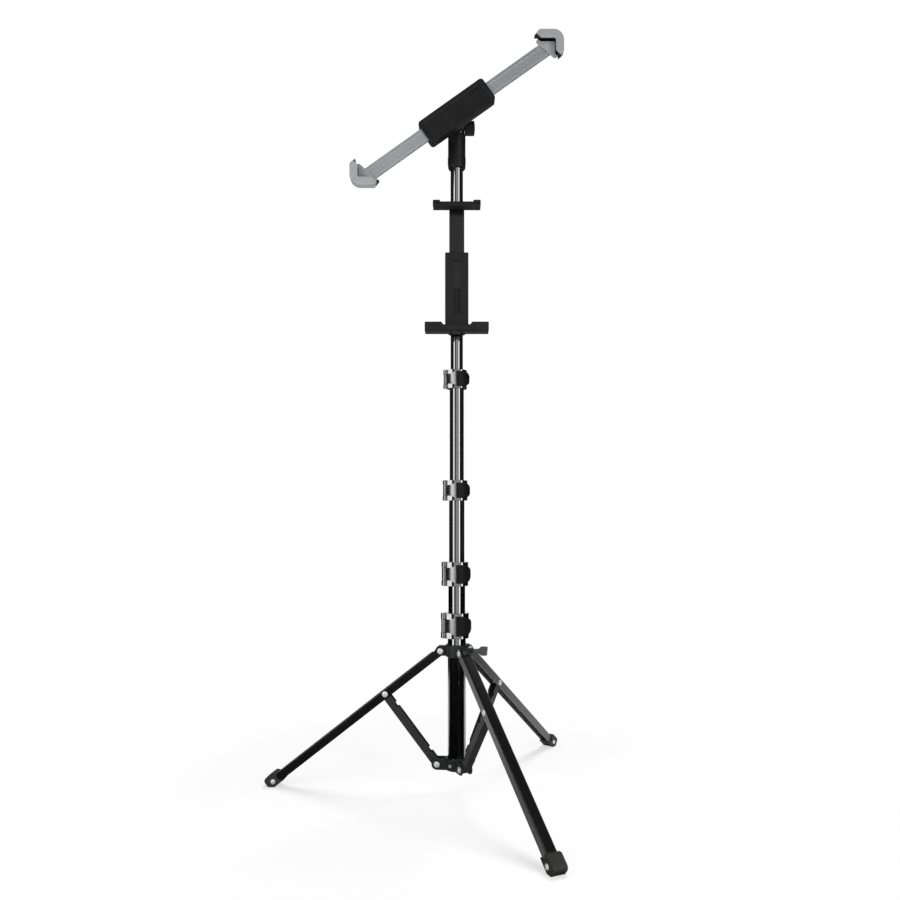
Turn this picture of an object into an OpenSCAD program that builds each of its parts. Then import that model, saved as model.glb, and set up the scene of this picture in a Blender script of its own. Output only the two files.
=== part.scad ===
// Adjustable floor stand for a tablet and a phone.
// A telescopic mast stands on a folding tripod; the origin is on the floor, on the mast's axis.
// Front is -Y, right is +X, and all sizes are in millimetres.

/* [Mast tubes] */
// Outer diameter of the base tube
base_od = 21.9; // [20:0.1:24]
// Wall of every tube
tube_wall = 0.45; // [0.4:0.05:0.8]
// Radial room between a tube and the next one outside it
tube_room = 0.3; // [0.3:0.05:0.6]
// Extra radial room round the top tube
top_room = 0.4; // [0.2:0.05:0.6]
// Length of the second tube
tube2_len = 190; // [180:1:200]
// Length of the third tube
tube3_len = 194; // [180:1:200]
// Length of the fourth tube
tube4_len = 194; // [180:1:200]
// Length of the top tube
tube5_len = 446; // [440:1:460]
// Length of the top tube that stands inside the fourth tube
tube5_inside = 161; // [155:1:167]
// Length of a guide's collar below its tube
guide_len = 6; // [4:0.5:10]
// Length of a guide's spigot inside its tube
spigot_len = 7; // [4:0.5:10]
// Air hole through a guide
guide_hole_d = 4; // [2:0.5:6]
// Radial running clearance of a sliding fit
slide_fit = 0.05; // [0.02:0.01:0.09]

/* [Flip locks] */
// Bottom of lock 4, on the base tube
lock4_z = 188.5; // [187.5:0.5:190.5]
// Height of lock 4
lock4_h = 30.5; // [28:0.5:33]
// Bottom of lock 3, on the second tube
lock3_z = 252; // [249.5:0.5:255.5]
// Height of lock 3
lock3_h = 29; // [26:0.5:31]
// Bottom of lock 2, on the third tube
lock2_z = 355.5; // [351.5:0.5:359.5]
// Height of lock 2
lock2_h = 24.5; // [22:0.5:28]
// Bottom of lock 1, on the fourth tube
lock1_z = 491.5; // [487.5:0.5:494.5]
// Height of lock 1
lock1_h = 22.5; // [20:0.5:26]
// Wall of a lock ring
lock_wall = 3.7; // [3.5:0.1:4.4]
// Depth of a tube's end below the top of its lock ring
tube_inset = 11.5; // [9:0.5:13]
// Radius of a hinge barrel on the two larger locks
barrel_big_r = 3.9; // [3.6:0.1:4.4]
// Radius of a hinge barrel on the two smaller locks
barrel_small_r = 3.2; // [3:0.1:3.6]
// How far the barrel's axis stands out from the ring's wall
barrel_out = 1.1; // [0.8:0.1:1.6]
// Angle from the left side to the barrel, towards the front
barrel_turn = 12; // [6:1:20]
// Share of a lock's height that the lever's knuckle takes
knuckle_share = 0.52; // [0.5:0.01:0.56]
// Radius of a lock's hinge pin
lock_pin_r = 1.4; // [1.2:0.1:1.6]
// Thickness of a lever
lever_t = 2.4; // [2:0.1:3]
// Room between a lever and its ring
lever_room = 0.4; // [0.3:0.05:0.6]
// Room above and below a lever's knuckle
knuckle_room = 0.25; // [0.2:0.05:0.4]
// How much smaller a lever's knuckle is than the barrel
knuckle_step = 0.4; // [0.2:0.1:0.8]
// Share of a lock's height that the lever's paddle takes
paddle_share = 0.76; // [0.7:0.01:0.82]
// Share of a lock's height that the lever's neck takes
neck_share = 0.46; // [0.4:0.01:0.47]
// Width of the slit in a lock ring
slit_w = 1.2; // [0.8:0.1:2]

/* [Tripod linkage] */
// Turn of the three legs about the mast, from the left, back and front marks
leg_turn = -6; // [-10:1:0]
// Distance of a leg's top pivot from the mast axis
leg_pivot_r = 19.7; // [19.2:0.1:20.5]
// Height of a leg's top pivot
leg_pivot_z = 172.5; // [171.5:0.5:173.5]
// Slope of an open leg from the vertical
leg_slope = 51.6; // [49:0.1:53]
// Distance along a leg from its top pivot to its brace pivot
leg_to_brace = 87; // [84:0.5:90]
// Distance along a leg from its top pivot to its foot rivet
leg_to_foot = 266.5; // [263:0.5:270]
// Distance of a brace's hub pivot from the mast axis
hub_pivot_r = 23.7; // [23.2:0.1:24.5]
// Height of a brace's hub pivot
hub_pivot_z = 35; // [34:0.1:36]

/* [Legs] */
// Outer width of a leg channel
leg_w = 12.4; // [12.2:0.1:13.4]
// Depth of a leg channel
leg_d = 10.6; // [10.5:0.1:11.4]
// Sheet thickness of legs and braces
sheet_t = 1; // [0.8:0.1:1.2]
// Distance from the top pivot to where a leg's web starts
web_start = 10; // [9.5:0.5:14]
// How far a leg's channel runs past its foot rivet
leg_past_foot = 5; // [4:0.5:6]

/* [Braces] */
// Room on each side between a brace and its leg
brace_room = 0.4; // [0.35:0.05:0.5]
// Distance from a brace's pivot line to its free edges
brace_edge = 4; // [3.6:0.1:4]
// Distance from a brace's pivot line to its web's outer face
brace_back = 5.4; // [5:0.1:6]
// Radius of the notches in a brace's free edges
notch_r = 3; // [2.8:0.1:3.4]
// Distance from a brace's leg pivot to its upper notch
notch_up = 19; // [16:0.5:24]
// Distance from a brace's pivot line to the notches' centres
notch_off = 4.6; // [4.2:0.1:5]

/* [Rivets] */
// Radius of a rivet's shank
rivet_r = 2; // [1.8:0.1:2.2]
// Radius of a pivot rivet's head
head_r = 3.7; // [3.2:0.1:4]
// Height of a rivet's head
head_h = 1.5; // [1.2:0.1:1.8]
// Radius of a foot rivet's head
foot_head_r = 3.1; // [2.8:0.1:3.4]
// Radial clearance of a bore on its rivet
rivet_fit = 0.06; // [0.03:0.01:0.09]
// Radius of a brace's hole at the hub
brace_hub_hole_r = 2.3; // [2.1:0.1:2.6]

/* [Feet] */
// Width of a foot
foot_w = 16.6; // [16:0.1:18]
// Length of a foot above its rivet, along the leg
foot_up = 12.5; // [12:0.5:14]
// Distance of a foot's toe from its rivet, along the leg
foot_toe = 9.6; // [9:0.1:11]
// Distance from a foot's rivet to the edge of its wall over the web
foot_brow = 7; // [6:0.5:7.5]
// Foot wall over the leg's web
foot_over = 3.4; // [3:0.1:4]
// Foot wall under the leg's free edges
foot_under = 1.3; // [1:0.1:1.6]
// Radius of a foot's toe
foot_round = 4.5; // [4:0.1:5]
// Thickness of a foot's sole under the leg's end
foot_sole = 1.5; // [1:0.1:1.8]

/* [Collar and knob] */
// Outer radius of the sliding collar
collar_r = 13.4; // [13:0.1:13.6]
// Height of the collar above the leg pivots
collar_up = 8; // [7:0.5:8.5]
// Height of the collar below the leg pivots
collar_down = 7; // [6:0.5:8]
// Width of the collar's lugs
lug_w = 6.8; // [6.4:0.1:7]
// Radius of a lug's round end
lug_r = 6.2; // [5.6:0.1:6.4]
// Radius of the collar's knob boss
boss_r = 3.4; // [3.2:0.1:4]
// Distance of the boss's face from the mast axis
boss_end = 20; // [18:0.5:22]
// Radius of the wing knob's screw
screw_r = 2; // [1.8:0.1:2.2]
// Room between the screw's tip and the base tube
screw_room = 0.4; // [0.3:0.05:0.6]
// Length of the wing knob's round neck
neck_len = 8; // [6:0.5:10]
// Radius of the wing knob's round neck
neck_r = 2.6; // [2.4:0.1:3]
// Length of the wing
wing_len = 10; // [8:0.5:12]
// Width of the wing
wing_w = 11; // [10:0.5:16]
// Thickness of the wing
wing_t = 3.4; // [3:0.1:5]

/* [Hub] */
// Outer radius of the hub's body
hub_r = 14; // [13.6:0.1:14.4]
// Half height of the hub's clevises
hub_lug_r = 6.6; // [6.2:0.1:7]
// Room on each side between a brace and its clevis
clevis_room = 0.2; // [0.15:0.05:0.4]
// Thickness of a clevis plate
clevis_t = 2.2; // [1.8:0.1:2.6]
// Thickness of the hub's floor
hub_floor = 4; // [3:0.5:6]
// Height of the hub's body above its pivots
hub_up = 7.5; // [7:0.5:8]
// Radius of the hub's set screw
set_r = 1.8; // [1.5:0.1:2.2]

/* [Phone holder] */
// Bottom of the phone holder's lower jaw
phone_z = 555.5; // [550:0.5:560]
// Width of the lower jaw
jaw_w = 75.8; // [70:0.2:80]
// Height of the lower jaw's front lip
jaw_lip_h = 11; // [10:0.5:13]
// Depth of the cut-out in the lower jaw's lip
jaw_cut_h = 4.8; // [4:0.2:6]
// Width of the cut-out at its foot
jaw_cut_w = 30; // [26:0.5:34]
// Thickness of the jaws' floors and lips
jaw_t = 2.8; // [2.4:0.1:3.2]
// Room for a phone between back and lip
phone_gap = 10.5; // [9.5:0.5:12]
// Height of the upper jaw's underside above the lower jaw's bottom
jaw_span = 149; // [146:0.5:152]
// Width of the upper jaw
top_jaw_w = 56.6; // [52:0.2:60]
// Height of the upper jaw's plate
top_jaw_t = 4; // [3.5:0.5:5]
// How far the upper jaw's lip hangs below its plate
top_lip = 2; // [1.5:0.5:3]
// Width of the upper jaw's raised ends
top_end_w = 8.6; // [7:0.2:10]
// Height of the upper jaw's raised ends
top_end_h = 1.8; // [1.2:0.2:2.4]
// Outer radius of the tube clamp
clamp_r = 10.6; // [10.2:0.1:11.2]
// Bottom of the tube clamp above the lower jaw's bottom
clamp_lift = 2.6; // [2:0.1:4]
// Height of the tube clamp
clamp_h = 14; // [12:0.5:16]
// Distance of the holder's back from the mast axis
back_y = 13; // [12.8:0.1:13.6]
// Thickness of the holder's back
back_t = 5.4; // [5.2:0.1:6]
// Width of the holder's back
back_w = 28; // [26:0.5:32]
// Top of the back above the lower jaw's bottom
back_h = 97; // [94:1:100]
// Width of the sliding bar
bar_w = 18; // [16:0.5:20]
// Thickness of the sliding bar
bar_t = 2.4; // [2:0.1:2.8]
// Bottom of the sliding bar above the lower jaw's bottom
bar_z = 54; // [53:1:58]
// Room round the sliding bar
bar_room = 0.25; // [0.2:0.05:0.4]
// Foot of the sliding bar's channel above the lower jaw's bottom
channel_z = 17; // [15.5:0.5:18]
// Radius of the phone clamp's knob
clamp_knob_r = 8; // [7:0.5:9]
// Length of the phone clamp's knob
clamp_knob_len = 11; // [9:0.5:14]
// Thickness of the holder's rubber pads
pad_t = 1; // [0.8:0.1:1.4]

/* [Tablet head] */
// Height of the tilt axis above the top tube's end
tilt_up = 22; // [20:0.5:24]
// Outer radius of the swivel socket
socket_r = 10.6; // [10.2:0.1:11.4]
// Length of the socket below the top tube's end
socket_len = 28; // [24:0.5:32]
// Thickness of the socket's roof
socket_roof = 4; // [3:0.5:6]
// Half width of the tilt tongue
tongue_half = 5; // [4.6:0.1:5.4]
// Radius of the tilt tongue and the socket's ears
tongue_r = 8.6; // [8.2:0.1:9]
// Thickness of each ear
ear_t = 4; // [3.6:0.1:4.6]
// Room between tongue and ears
tongue_room = 0.3; // [0.25:0.05:0.4]
// Radius of the tilt bolt
bolt_r = 2.5; // [2.2:0.1:2.8]
// Radius of the tilt knob
tilt_knob_r = 8.4; // [7.5:0.1:8.6]
// Length of the tilt knob
tilt_knob_len = 12; // [10:0.5:15]
// Across the corners of the tilt bolt's nut
nut_d = 10; // [9:0.5:11]
// Thickness of the tilt bolt's nut
nut_t = 4; // [3:0.5:5]
// Radius of the bracket's turning boss
turn_r = 12; // [11:0.5:13]
// Distance of the turning boss's back from the mast axis
turn_back = 15; // [14.5:0.5:17]
// Half height of the bracket's arm between tongue and boss
turn_arm = 5; // [4:0.5:5.5]
// Distance of the holder body's back from the mast axis
body_y = 30; // [29:0.5:32]
// Room between the boss and the holder body
turn_room = 0.3; // [0.25:0.05:0.4]
// Radius of the turning spindle
spindle_r = 4; // [3.6:0.1:4.4]
// Radius of the turning washer
washer_r = 7; // [6.4:0.1:7.4]
// Thickness of the turning washer
washer_t = 1.5; // [1.2:0.1:1.8]

/* [Tablet holder] */
// Width of the largest tablet between the claws as set
tablet_w = 235; // [228:0.5:240]
// Height of the tablet between the claws as set
tablet_h = 167; // [162:0.5:172]
// Room for a tablet between back and lip
tablet_gap = 6.6; // [6:0.1:8]
// Half length of the holder's body
body_half = 46; // [44:0.5:50]
// Width of the holder's body
body_w = 30; // [28:0.5:34]
// Thickness of the body's back wall
body_wall = 6; // [5.5:0.1:6.5]
// Thickness of the body's cover
cover_t = 2; // [1.6:0.1:2.4]
// Width of the arms
arm_w = 16; // [14:0.5:18]
// Thickness of the arms
arm_t = 4; // [3.5:0.1:4.5]
// Room round the arms
arm_room = 0.25; // [0.2:0.05:0.4]
// Inner end of the fixed arm, from the turning axis
fixed_in = 39; // [38:0.5:42]
// Inner end of the sliding arm, from the turning axis
slide_in = 2; // [1:0.5:6]
// Outer wall of a claw beside the tablet
claw_wall = 6.4; // [6:0.1:7]
// How far a claw's lip covers the tablet's face
claw_lip = 3; // [2.6:0.1:3.6]
// Length of a claw along the tablet's long side
claw_len_x = 25.6; // [24:0.1:30]
// Length of a claw along the tablet's short side
claw_len_z = 22.4; // [21:0.1:26]
// Radius of a claw's outer corner
claw_corner = 12; // [10:0.5:13]
// Cut at the ends of a claw
claw_end = 4; // [3.6:0.1:5]
// Thickness of a claw's back
claw_back = 2.6; // [2.4:0.1:3.2]
// Thickness of a claw's lip
claw_face = 2.6; // [2.4:0.1:3.6]
// Thickness of a claw's rubber pad
claw_pad = 3.8; // [3.2:0.1:4]
// Blunt edge at the ends of a claw's rubber pad
pad_blunt = 0.5; // [0.3:0.1:1]
// Distance of an arm's outer end from the tablet's corner
arm_short = 5; // [4:0.5:9]

/* [Hidden] */
$fn = 64;
cut = 0.5;
base_r = base_od / 2;
tube2_r = base_r - tube_wall - tube_room;
tube3_r = tube2_r - tube_wall - tube_room;
tube4_r = tube3_r - tube_wall - tube_room;
tube5_r = tube4_r - tube_wall - tube_room - top_room;
base_top = lock4_z + lock4_h - tube_inset;
tube2_top = lock3_z + lock3_h - tube_inset;
tube3_top = lock2_z + lock2_h - tube_inset;
tube4_top = lock1_z + lock1_h - tube_inset;
tube5_low = tube4_top - tube5_inside;
tube5_top = tube5_low + tube5_len;
tilt_z = tube5_top + tilt_up;
leg_marks = [180, -60, 60];
leg_in = leg_w / 2 - sheet_t;
leg_half_d = leg_d / 2;
brace_half = leg_in - brace_room;
brace_reach = leg_pivot_r + leg_to_brace * sin(leg_slope);
brace_top_z = leg_pivot_z - leg_to_brace * cos(leg_slope);
brace_len = norm([brace_reach - hub_pivot_r, brace_top_z - hub_pivot_z]);
brace_lean = atan2(brace_reach - hub_pivot_r, brace_top_z - hub_pivot_z);
notch_low = leg_to_brace;
clevis_in = brace_half + clevis_room;
hub_bottom = hub_pivot_z - hub_lug_r;
clamp_z = phone_z + clamp_lift;
clamp_screw_z = clamp_z + clamp_h / 2;
phone_back_face = back_y + back_t;
phone_lip_y = phone_back_face + phone_gap;
turn_face = body_y - turn_room;
arm_y = body_y + body_wall + arm_room;
claw_y = arm_y + arm_t;
cover_y = claw_y + arm_room;
tablet_back = claw_y + claw_back;
tablet_face = tablet_back + tablet_gap;
claw_front = tablet_face + claw_face;
diagonal = atan2(tablet_h, tablet_w);
half_diagonal = norm([tablet_w, tablet_h]) / 2;
black = [0.06, 0.06, 0.065];
satin = [0.11, 0.11, 0.12];
steel = [0.85, 0.86, 0.87];
grey = [0.66, 0.67, 0.68];
rubber = [0.05, 0.05, 0.05];

// A straight tube between two heights on the mast axis
module tube_between(r, low, high) {
    difference() {
        translate([0, 0, low])
            cylinder(r = r, h = high - low);
        translate([0, 0, low - cut])
            cylinder(r = r - tube_wall, h = high - low + 2 * cut);
    }
}

// A guide: its spigot sits in the tube's end, its collar runs in the tube outside
module guide(tube_r, outer_r, low) {
    difference() {
        union() {
            translate([0, 0, low])
                cylinder(r = tube_r - tube_wall, h = spigot_len);
            translate([0, 0, low - guide_len])
                cylinder(r = outer_r - tube_wall - slide_fit, h = guide_len);
        }
        translate([0, 0, low - guide_len - cut])
            cylinder(d = guide_hole_d, h = guide_len + spigot_len + 2 * cut);
    }
}

// Places its children on a lock's hinge axis
module at_barrel(tube_r) {
    rotate([0, 0, 180 + barrel_turn])
        translate([tube_r + lock_wall + barrel_out, 0, 0])
            children();
}

// A lock ring with two hinge knuckles, bored for both tubes and slit
module lock_ring(tube_r, inner_r, z, h, barrel_r) {
    knuckle_h = h * knuckle_share;
    difference() {
        union() {
            translate([0, 0, z])
                cylinder(r = tube_r + lock_wall, h = h);
            at_barrel(tube_r)
                translate([0, 0, z])
                    cylinder(r = barrel_r, h = h);
        }
        at_barrel(tube_r)
            translate([0, 0, z + (h - knuckle_h) / 2])
                cylinder(r = barrel_r + lever_room, h = knuckle_h);
        at_barrel(tube_r)
            translate([0, 0, z - cut])
                cylinder(r = lock_pin_r, h = h + 2 * cut);
        translate([0, 0, z - cut])
            cylinder(r = tube_r, h = h - tube_inset + cut);
        translate([0, 0, z - cut])
            cylinder(r = inner_r + slide_fit, h = h + 2 * cut);
        rotate([0, 0, 180 - 2 * barrel_turn])
            translate([inner_r, -slit_w / 2, z - cut])
                cube([2 * lock_wall + tube_r, slit_w, h + 2 * cut]);
    }
}

// The pin that holds a lever to its ring
module lock_pin(tube_r, z, h) {
    at_barrel(tube_r)
        translate([0, 0, z])
            cylinder(r = lock_pin_r, h = h);
}

// The outline of a lever from the front: a narrow neck that flares into a round paddle
module lever_outline(left, outer, h) {
    neck = h * neck_share / 2;
    paddle = h * paddle_share / 2;
    polygon([
        [-left, -neck],
        [-outer / 2, -neck],
        [-outer / 4, -paddle],
        [outer - paddle, -paddle],
        [outer - paddle, paddle],
        [-outer / 4, paddle],
        [-outer / 2, neck],
        [-left, neck]
    ]);
    translate([outer - paddle, 0])
        circle(r = paddle);
}

// A lever: a shell wrapped round the front of its ring, with a knuckle on the hinge pin
module lock_lever(tube_r, z, h, barrel_r) {
    inner = tube_r + lock_wall + lever_room;
    outer = inner + lever_t;
    left = (tube_r + lock_wall + barrel_out) * cos(barrel_turn);
    knuckle_h = h * knuckle_share - 2 * knuckle_room;
    difference() {
        union() {
            intersection() {
                difference() {
                    translate([0, 0, z])
                        cylinder(r = outer, h = h);
                    translate([0, 0, z - cut])
                        cylinder(r = inner, h = h + 2 * cut);
                }
                translate([0, 0, z + h / 2])
                    rotate([90, 0, 0])
                        linear_extrude(height = outer)
                            lever_outline(left, outer, h);
            }
            at_barrel(tube_r)
                translate([0, 0, z + (h - knuckle_h) / 2])
                    cylinder(r = barrel_r - knuckle_step, h = knuckle_h);
        }
        at_barrel(tube_r)
            translate([0, 0, z])
                cylinder(r = lock_pin_r + rivet_fit, h = h);
    }
}

// Places its children at a leg's top pivot: X runs down the open leg, Z out of its web
module on_leg(mark) {
    rotate([0, 0, mark + leg_turn])
        translate([leg_pivot_r, 0, leg_pivot_z])
            rotate([0, 90 - leg_slope, 0])
                children();
}

// Places its children at a brace's leg pivot: X runs down to the hub, Z towards the mast
module on_brace(mark) {
    rotate([0, 0, mark + leg_turn])
        translate([brace_reach, 0, brace_top_z])
            rotate([0, 90 + brace_lean, 0])
                rotate([180, 0, 0])
                    children();
}

// A bore or pin across a leg
module across(r, half) {
    rotate([90, 0, 0])
        translate([0, 0, -half])
            cylinder(r = r, h = 2 * half);
}

// All the space of the tripod above a height
module above(z) {
    translate([-2 * leg_to_foot, -2 * leg_to_foot, z])
        cube([4 * leg_to_foot, 4 * leg_to_foot, leg_to_foot]);
}

// A bent-sheet leg: two flanges with a round top end and a web that starts below the pivot;
// its lower end is cut level with the foot's sole
module leg(mark) {
    leg_end = leg_to_foot + leg_past_foot;
    intersection() {
        above(foot_sole);
        on_leg(mark)
            difference() {
                union() {
                    across(leg_half_d, leg_w / 2);
                    translate([0, -leg_w / 2, -leg_half_d])
                        cube([leg_end, leg_w, leg_d]);
                }
                translate([-leg_d, -leg_in, -leg_d])
                    cube([leg_end + leg_d + cut, 2 * leg_in, leg_d + leg_half_d - sheet_t]);
                translate([-leg_d, -leg_in, -leg_d])
                    cube([leg_d + web_start, 2 * leg_in, 2 * leg_d]);
                across(rivet_r, leg_w);
                translate([leg_to_brace, 0, 0])
                    across(rivet_r, leg_w);
                translate([leg_to_foot, 0, 0])
                    across(rivet_r, leg_w);
            }
    }
}

// A rivet: a shank with a shallow cone head at each end
module rivet(half, r) {
    across(rivet_r, half);
    for (side = [0, 1])
        mirror([0, side, 0])
            translate([0, -half, 0])
                rotate([90, 0, 0])
                    cylinder(r1 = r, r2 = r - head_h / 2, h = head_h);
}

// The three rivets of one leg
module leg_rivets(mark) {
    on_leg(mark) {
        rivet(leg_w / 2, head_r);
        translate([leg_to_brace, 0, 0])
            rivet(leg_w / 2, head_r);
        translate([leg_to_foot, 0, 0])
            rivet(foot_w / 2, foot_head_r);
    }
}

// A foot from the side: a round toe and a mouth hollowed round the leg
module foot_outline() {
    high = leg_half_d + foot_over;
    low = leg_half_d + foot_under;
    difference() {
        union() {
            polygon([
                [-foot_up, -low],
                [foot_toe - foot_round, -low],
                [foot_toe - foot_round, high],
                [-foot_brow, high],
                [-foot_brow - foot_over, leg_half_d],
                [-foot_brow - foot_over, 0],
                [-foot_up, 0]
            ]);
            translate([0, foot_round - low])
                square([foot_toe, low + high - 2 * foot_round]);
            for (middle = [foot_round - low, high - foot_round])
                translate([foot_toe - foot_round, middle])
                    circle(r = foot_round);
        }
        translate([-foot_up, 0])
            circle(r = leg_half_d);
    }
}

// A moulded foot over the leg's end, cut flat on the floor
module foot(mark) {
    difference() {
        intersection() {
            above(0);
            on_leg(mark)
                translate([leg_to_foot, foot_w / 2, 0])
                    rotate([90, 0, 0])
                        linear_extrude(height = foot_w)
                            foot_outline();
        }
        intersection() {
            above(foot_sole);
            on_leg(mark)
                translate([0, -leg_w / 2, -leg_half_d])
                    cube([leg_to_foot + leg_past_foot, leg_w, leg_d]);
        }
        on_leg(mark)
            translate([leg_to_foot, 0, 0])
                across(rivet_r, foot_w);
    }
}

// A bent-sheet brace inside its leg: web away from the mast, notches in its free edges
module brace(mark) {
    on_brace(mark)
        difference() {
            union() {
                across(brace_edge, brace_half);
                translate([0, -brace_half, -brace_back])
                    cube([brace_len, 2 * brace_half, brace_back + brace_edge]);
                translate([brace_len, 0, 0])
                    across(brace_edge, brace_half);
            }
            translate([-leg_d, -brace_half + sheet_t, -brace_back + sheet_t])
                cube([brace_len + 2 * leg_d, 2 * (brace_half - sheet_t), leg_d]);
            across(rivet_r + rivet_fit, leg_w);
            translate([brace_len, 0, 0])
                across(brace_hub_hole_r, leg_w);
            translate([notch_low, 0, notch_off])
                across(notch_r, leg_w);
            translate([notch_up, 0, notch_off])
                across(notch_r, leg_w);
        }
}

// The collar that slides on the base tube and carries the legs
module collar_body() {
    difference() {
        union() {
            translate([0, 0, leg_pivot_z - collar_down])
                cylinder(r = collar_r, h = collar_down + collar_up);
            for (mark = leg_marks)
                rotate([0, 0, mark + leg_turn]) {
                    translate([base_r, -lug_w / 2, leg_pivot_z - lug_r])
                        cube([leg_pivot_r - base_r, lug_w, 2 * lug_r]);
                    translate([leg_pivot_r, 0, leg_pivot_z])
                        across(lug_r, lug_w / 2);
                }
            rotate([0, 0, leg_turn])
                translate([base_r, 0, leg_pivot_z])
                    rotate([0, 90, 0])
                        cylinder(r = boss_r, h = boss_end - base_r);
        }
        translate([0, 0, leg_pivot_z - 2 * collar_down])
            cylinder(r = base_r + slide_fit, h = 4 * collar_up);
        for (mark = leg_marks)
            rotate([0, 0, mark + leg_turn])
                translate([leg_pivot_r, 0, leg_pivot_z])
                    across(rivet_r + rivet_fit, lug_w);
        rotate([0, 0, leg_turn])
            translate([0, 0, leg_pivot_z])
                rotate([0, 90, 0])
                    cylinder(r = screw_r + rivet_fit, h = boss_end + cut);
    }
}

// The wing knob that locks the collar: screw, round neck and flat wing
module knob_body() {
    rotate([0, 0, leg_turn])
        translate([0, 0, leg_pivot_z])
            rotate([0, 90, 0]) {
                translate([0, 0, base_r + screw_room])
                    cylinder(r = screw_r, h = boss_end + neck_len - base_r - screw_room);
                translate([0, 0, boss_end + tongue_room])
                    cylinder(r1 = neck_r, r2 = screw_r, h = neck_len);
                translate([0, wing_t / 2, boss_end + neck_len])
                    rotate([90, 0, 0])
                        linear_extrude(height = wing_t)
                            polygon([
                                [-screw_r, -neck_len / 2],
                                [screw_r, -neck_len / 2],
                                [wing_w / 2, wing_len / 3],
                                [wing_w / 2, wing_len],
                                [-wing_w / 2, wing_len],
                                [-wing_w / 2, wing_len / 3]
                            ]);
            }
}

// The hub at the foot of the mast: a closed socket with three clevises
module hub_body() {
    difference() {
        union() {
            translate([0, 0, hub_bottom])
                cylinder(r = hub_r, h = hub_lug_r + hub_up);
            for (mark = leg_marks)
                rotate([0, 0, mark + leg_turn])
                    for (side = [0, 1])
                        mirror([0, side, 0])
                            translate([0, clevis_in, hub_pivot_z]) {
                                translate([0, 0, -hub_lug_r])
                                    cube([hub_pivot_r, clevis_t, 2 * hub_lug_r]);
                                translate([hub_pivot_r, clevis_t, 0])
                                    rotate([90, 0, 0])
                                        cylinder(r = hub_lug_r, h = clevis_t);
                            }
        }
        translate([0, 0, hub_bottom + hub_floor])
            cylinder(r = base_r, h = 2 * (hub_up + hub_lug_r));
        for (mark = leg_marks)
            rotate([0, 0, mark + leg_turn])
                translate([hub_pivot_r, 0, hub_pivot_z])
                    across(rivet_r, 2 * clevis_in);
        rotate([0, 0, leg_marks[0] + leg_marks[2] + leg_turn])
            translate([0, 0, hub_pivot_z])
                rotate([0, 90, 0])
                    cylinder(r = set_r, h = 2 * hub_r);
    }
}

// The rivets of the hub: each stops flush with the inside of its clevis
module hub_rivet_set() {
    for (mark = leg_marks)
        rotate([0, 0, mark + leg_turn])
            translate([hub_pivot_r, 0, hub_pivot_z])
                for (side = [0, 1])
                    mirror([0, side, 0]) {
                        translate([0, clevis_in + clevis_t, 0])
                            rotate([90, 0, 0])
                                cylinder(r = rivet_r, h = clevis_t);
                        translate([0, clevis_in + clevis_t, 0])
                            rotate([-90, 0, 0])
                                cylinder(r1 = head_r, r2 = head_r - head_h / 2, h = head_h);
                    }
}

// The set screw that holds the hub on the base tube
module hub_set_screw() {
    rotate([0, 0, leg_marks[0] + leg_marks[2] + leg_turn])
        translate([0, 0, hub_pivot_z])
            rotate([0, 90, 0])
                translate([0, 0, base_r])
                    cylinder(r = set_r, h = hub_r - base_r + cut);
}

// The phone holder's bracket: tube clamp, back and the sliding bar's channel
module phone_bracket_body() {
    difference() {
        union() {
            translate([0, 0, clamp_z])
                cylinder(r = clamp_r, h = clamp_h);
            translate([-clamp_r * sin(45), -back_y, clamp_z])
                cube([2 * clamp_r * sin(45), back_y, clamp_h]);
            translate([-back_w / 2, -phone_back_face, phone_z + jaw_t])
                cube([back_w, back_t, back_h - jaw_t]);
            translate([0, clamp_r - jaw_t, clamp_screw_z])
                rotate([-90, 0, 0])
                    cylinder(r = boss_r, h = jaw_t + head_h);
        }
        translate([0, 0, clamp_z - cut])
            cylinder(r = tube5_r + slide_fit, h = clamp_h + 2 * cut);
        translate([-bar_w / 2 - bar_room, -back_y - back_t / 2 - bar_t / 2 - bar_room, phone_z + channel_z])
            cube([bar_w + 2 * bar_room, bar_t + 2 * bar_room, back_h]);
        translate([0, 0, clamp_screw_z])
            rotate([-90, 0, 0])
                cylinder(r = screw_r + rivet_fit, h = clamp_r + 2 * head_h);
    }
}

// The lower jaw: a floor and a front lip with a wide cut-out
module lower_jaw() {
    difference() {
        union() {
            translate([-jaw_w / 2, -phone_lip_y - jaw_t, phone_z])
                cube([jaw_w, phone_lip_y + jaw_t - back_y, jaw_t]);
            translate([-jaw_w / 2, -phone_lip_y - jaw_t, phone_z])
                cube([jaw_w, jaw_t, jaw_lip_h]);
            translate([-jaw_w / 2, -phone_back_face, phone_z])
                cube([jaw_w, back_t, jaw_lip_h]);
        }
        translate([-back_w / 2, -phone_back_face, phone_z + jaw_t])
            cube([back_w, back_t + cut, jaw_lip_h]);
        translate([0, -phone_lip_y + cut, phone_z + jaw_lip_h])
            rotate([90, 0, 0])
                linear_extrude(height = jaw_t + 2 * cut)
                    polygon([
                        [-jaw_cut_w / 2, -jaw_cut_h],
                        [jaw_cut_w / 2, -jaw_cut_h],
                        [jaw_cut_w / 2 + jaw_cut_h, cut],
                        [-jaw_cut_w / 2 - jaw_cut_h, cut]
                    ]);
    }
}

// The rubber pad on the lower jaw's floor
module lower_pad() {
    translate([-jaw_w / 2 + jaw_t, -phone_lip_y, phone_z + jaw_t])
        cube([jaw_w - 2 * jaw_t, phone_gap, pad_t]);
}

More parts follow.
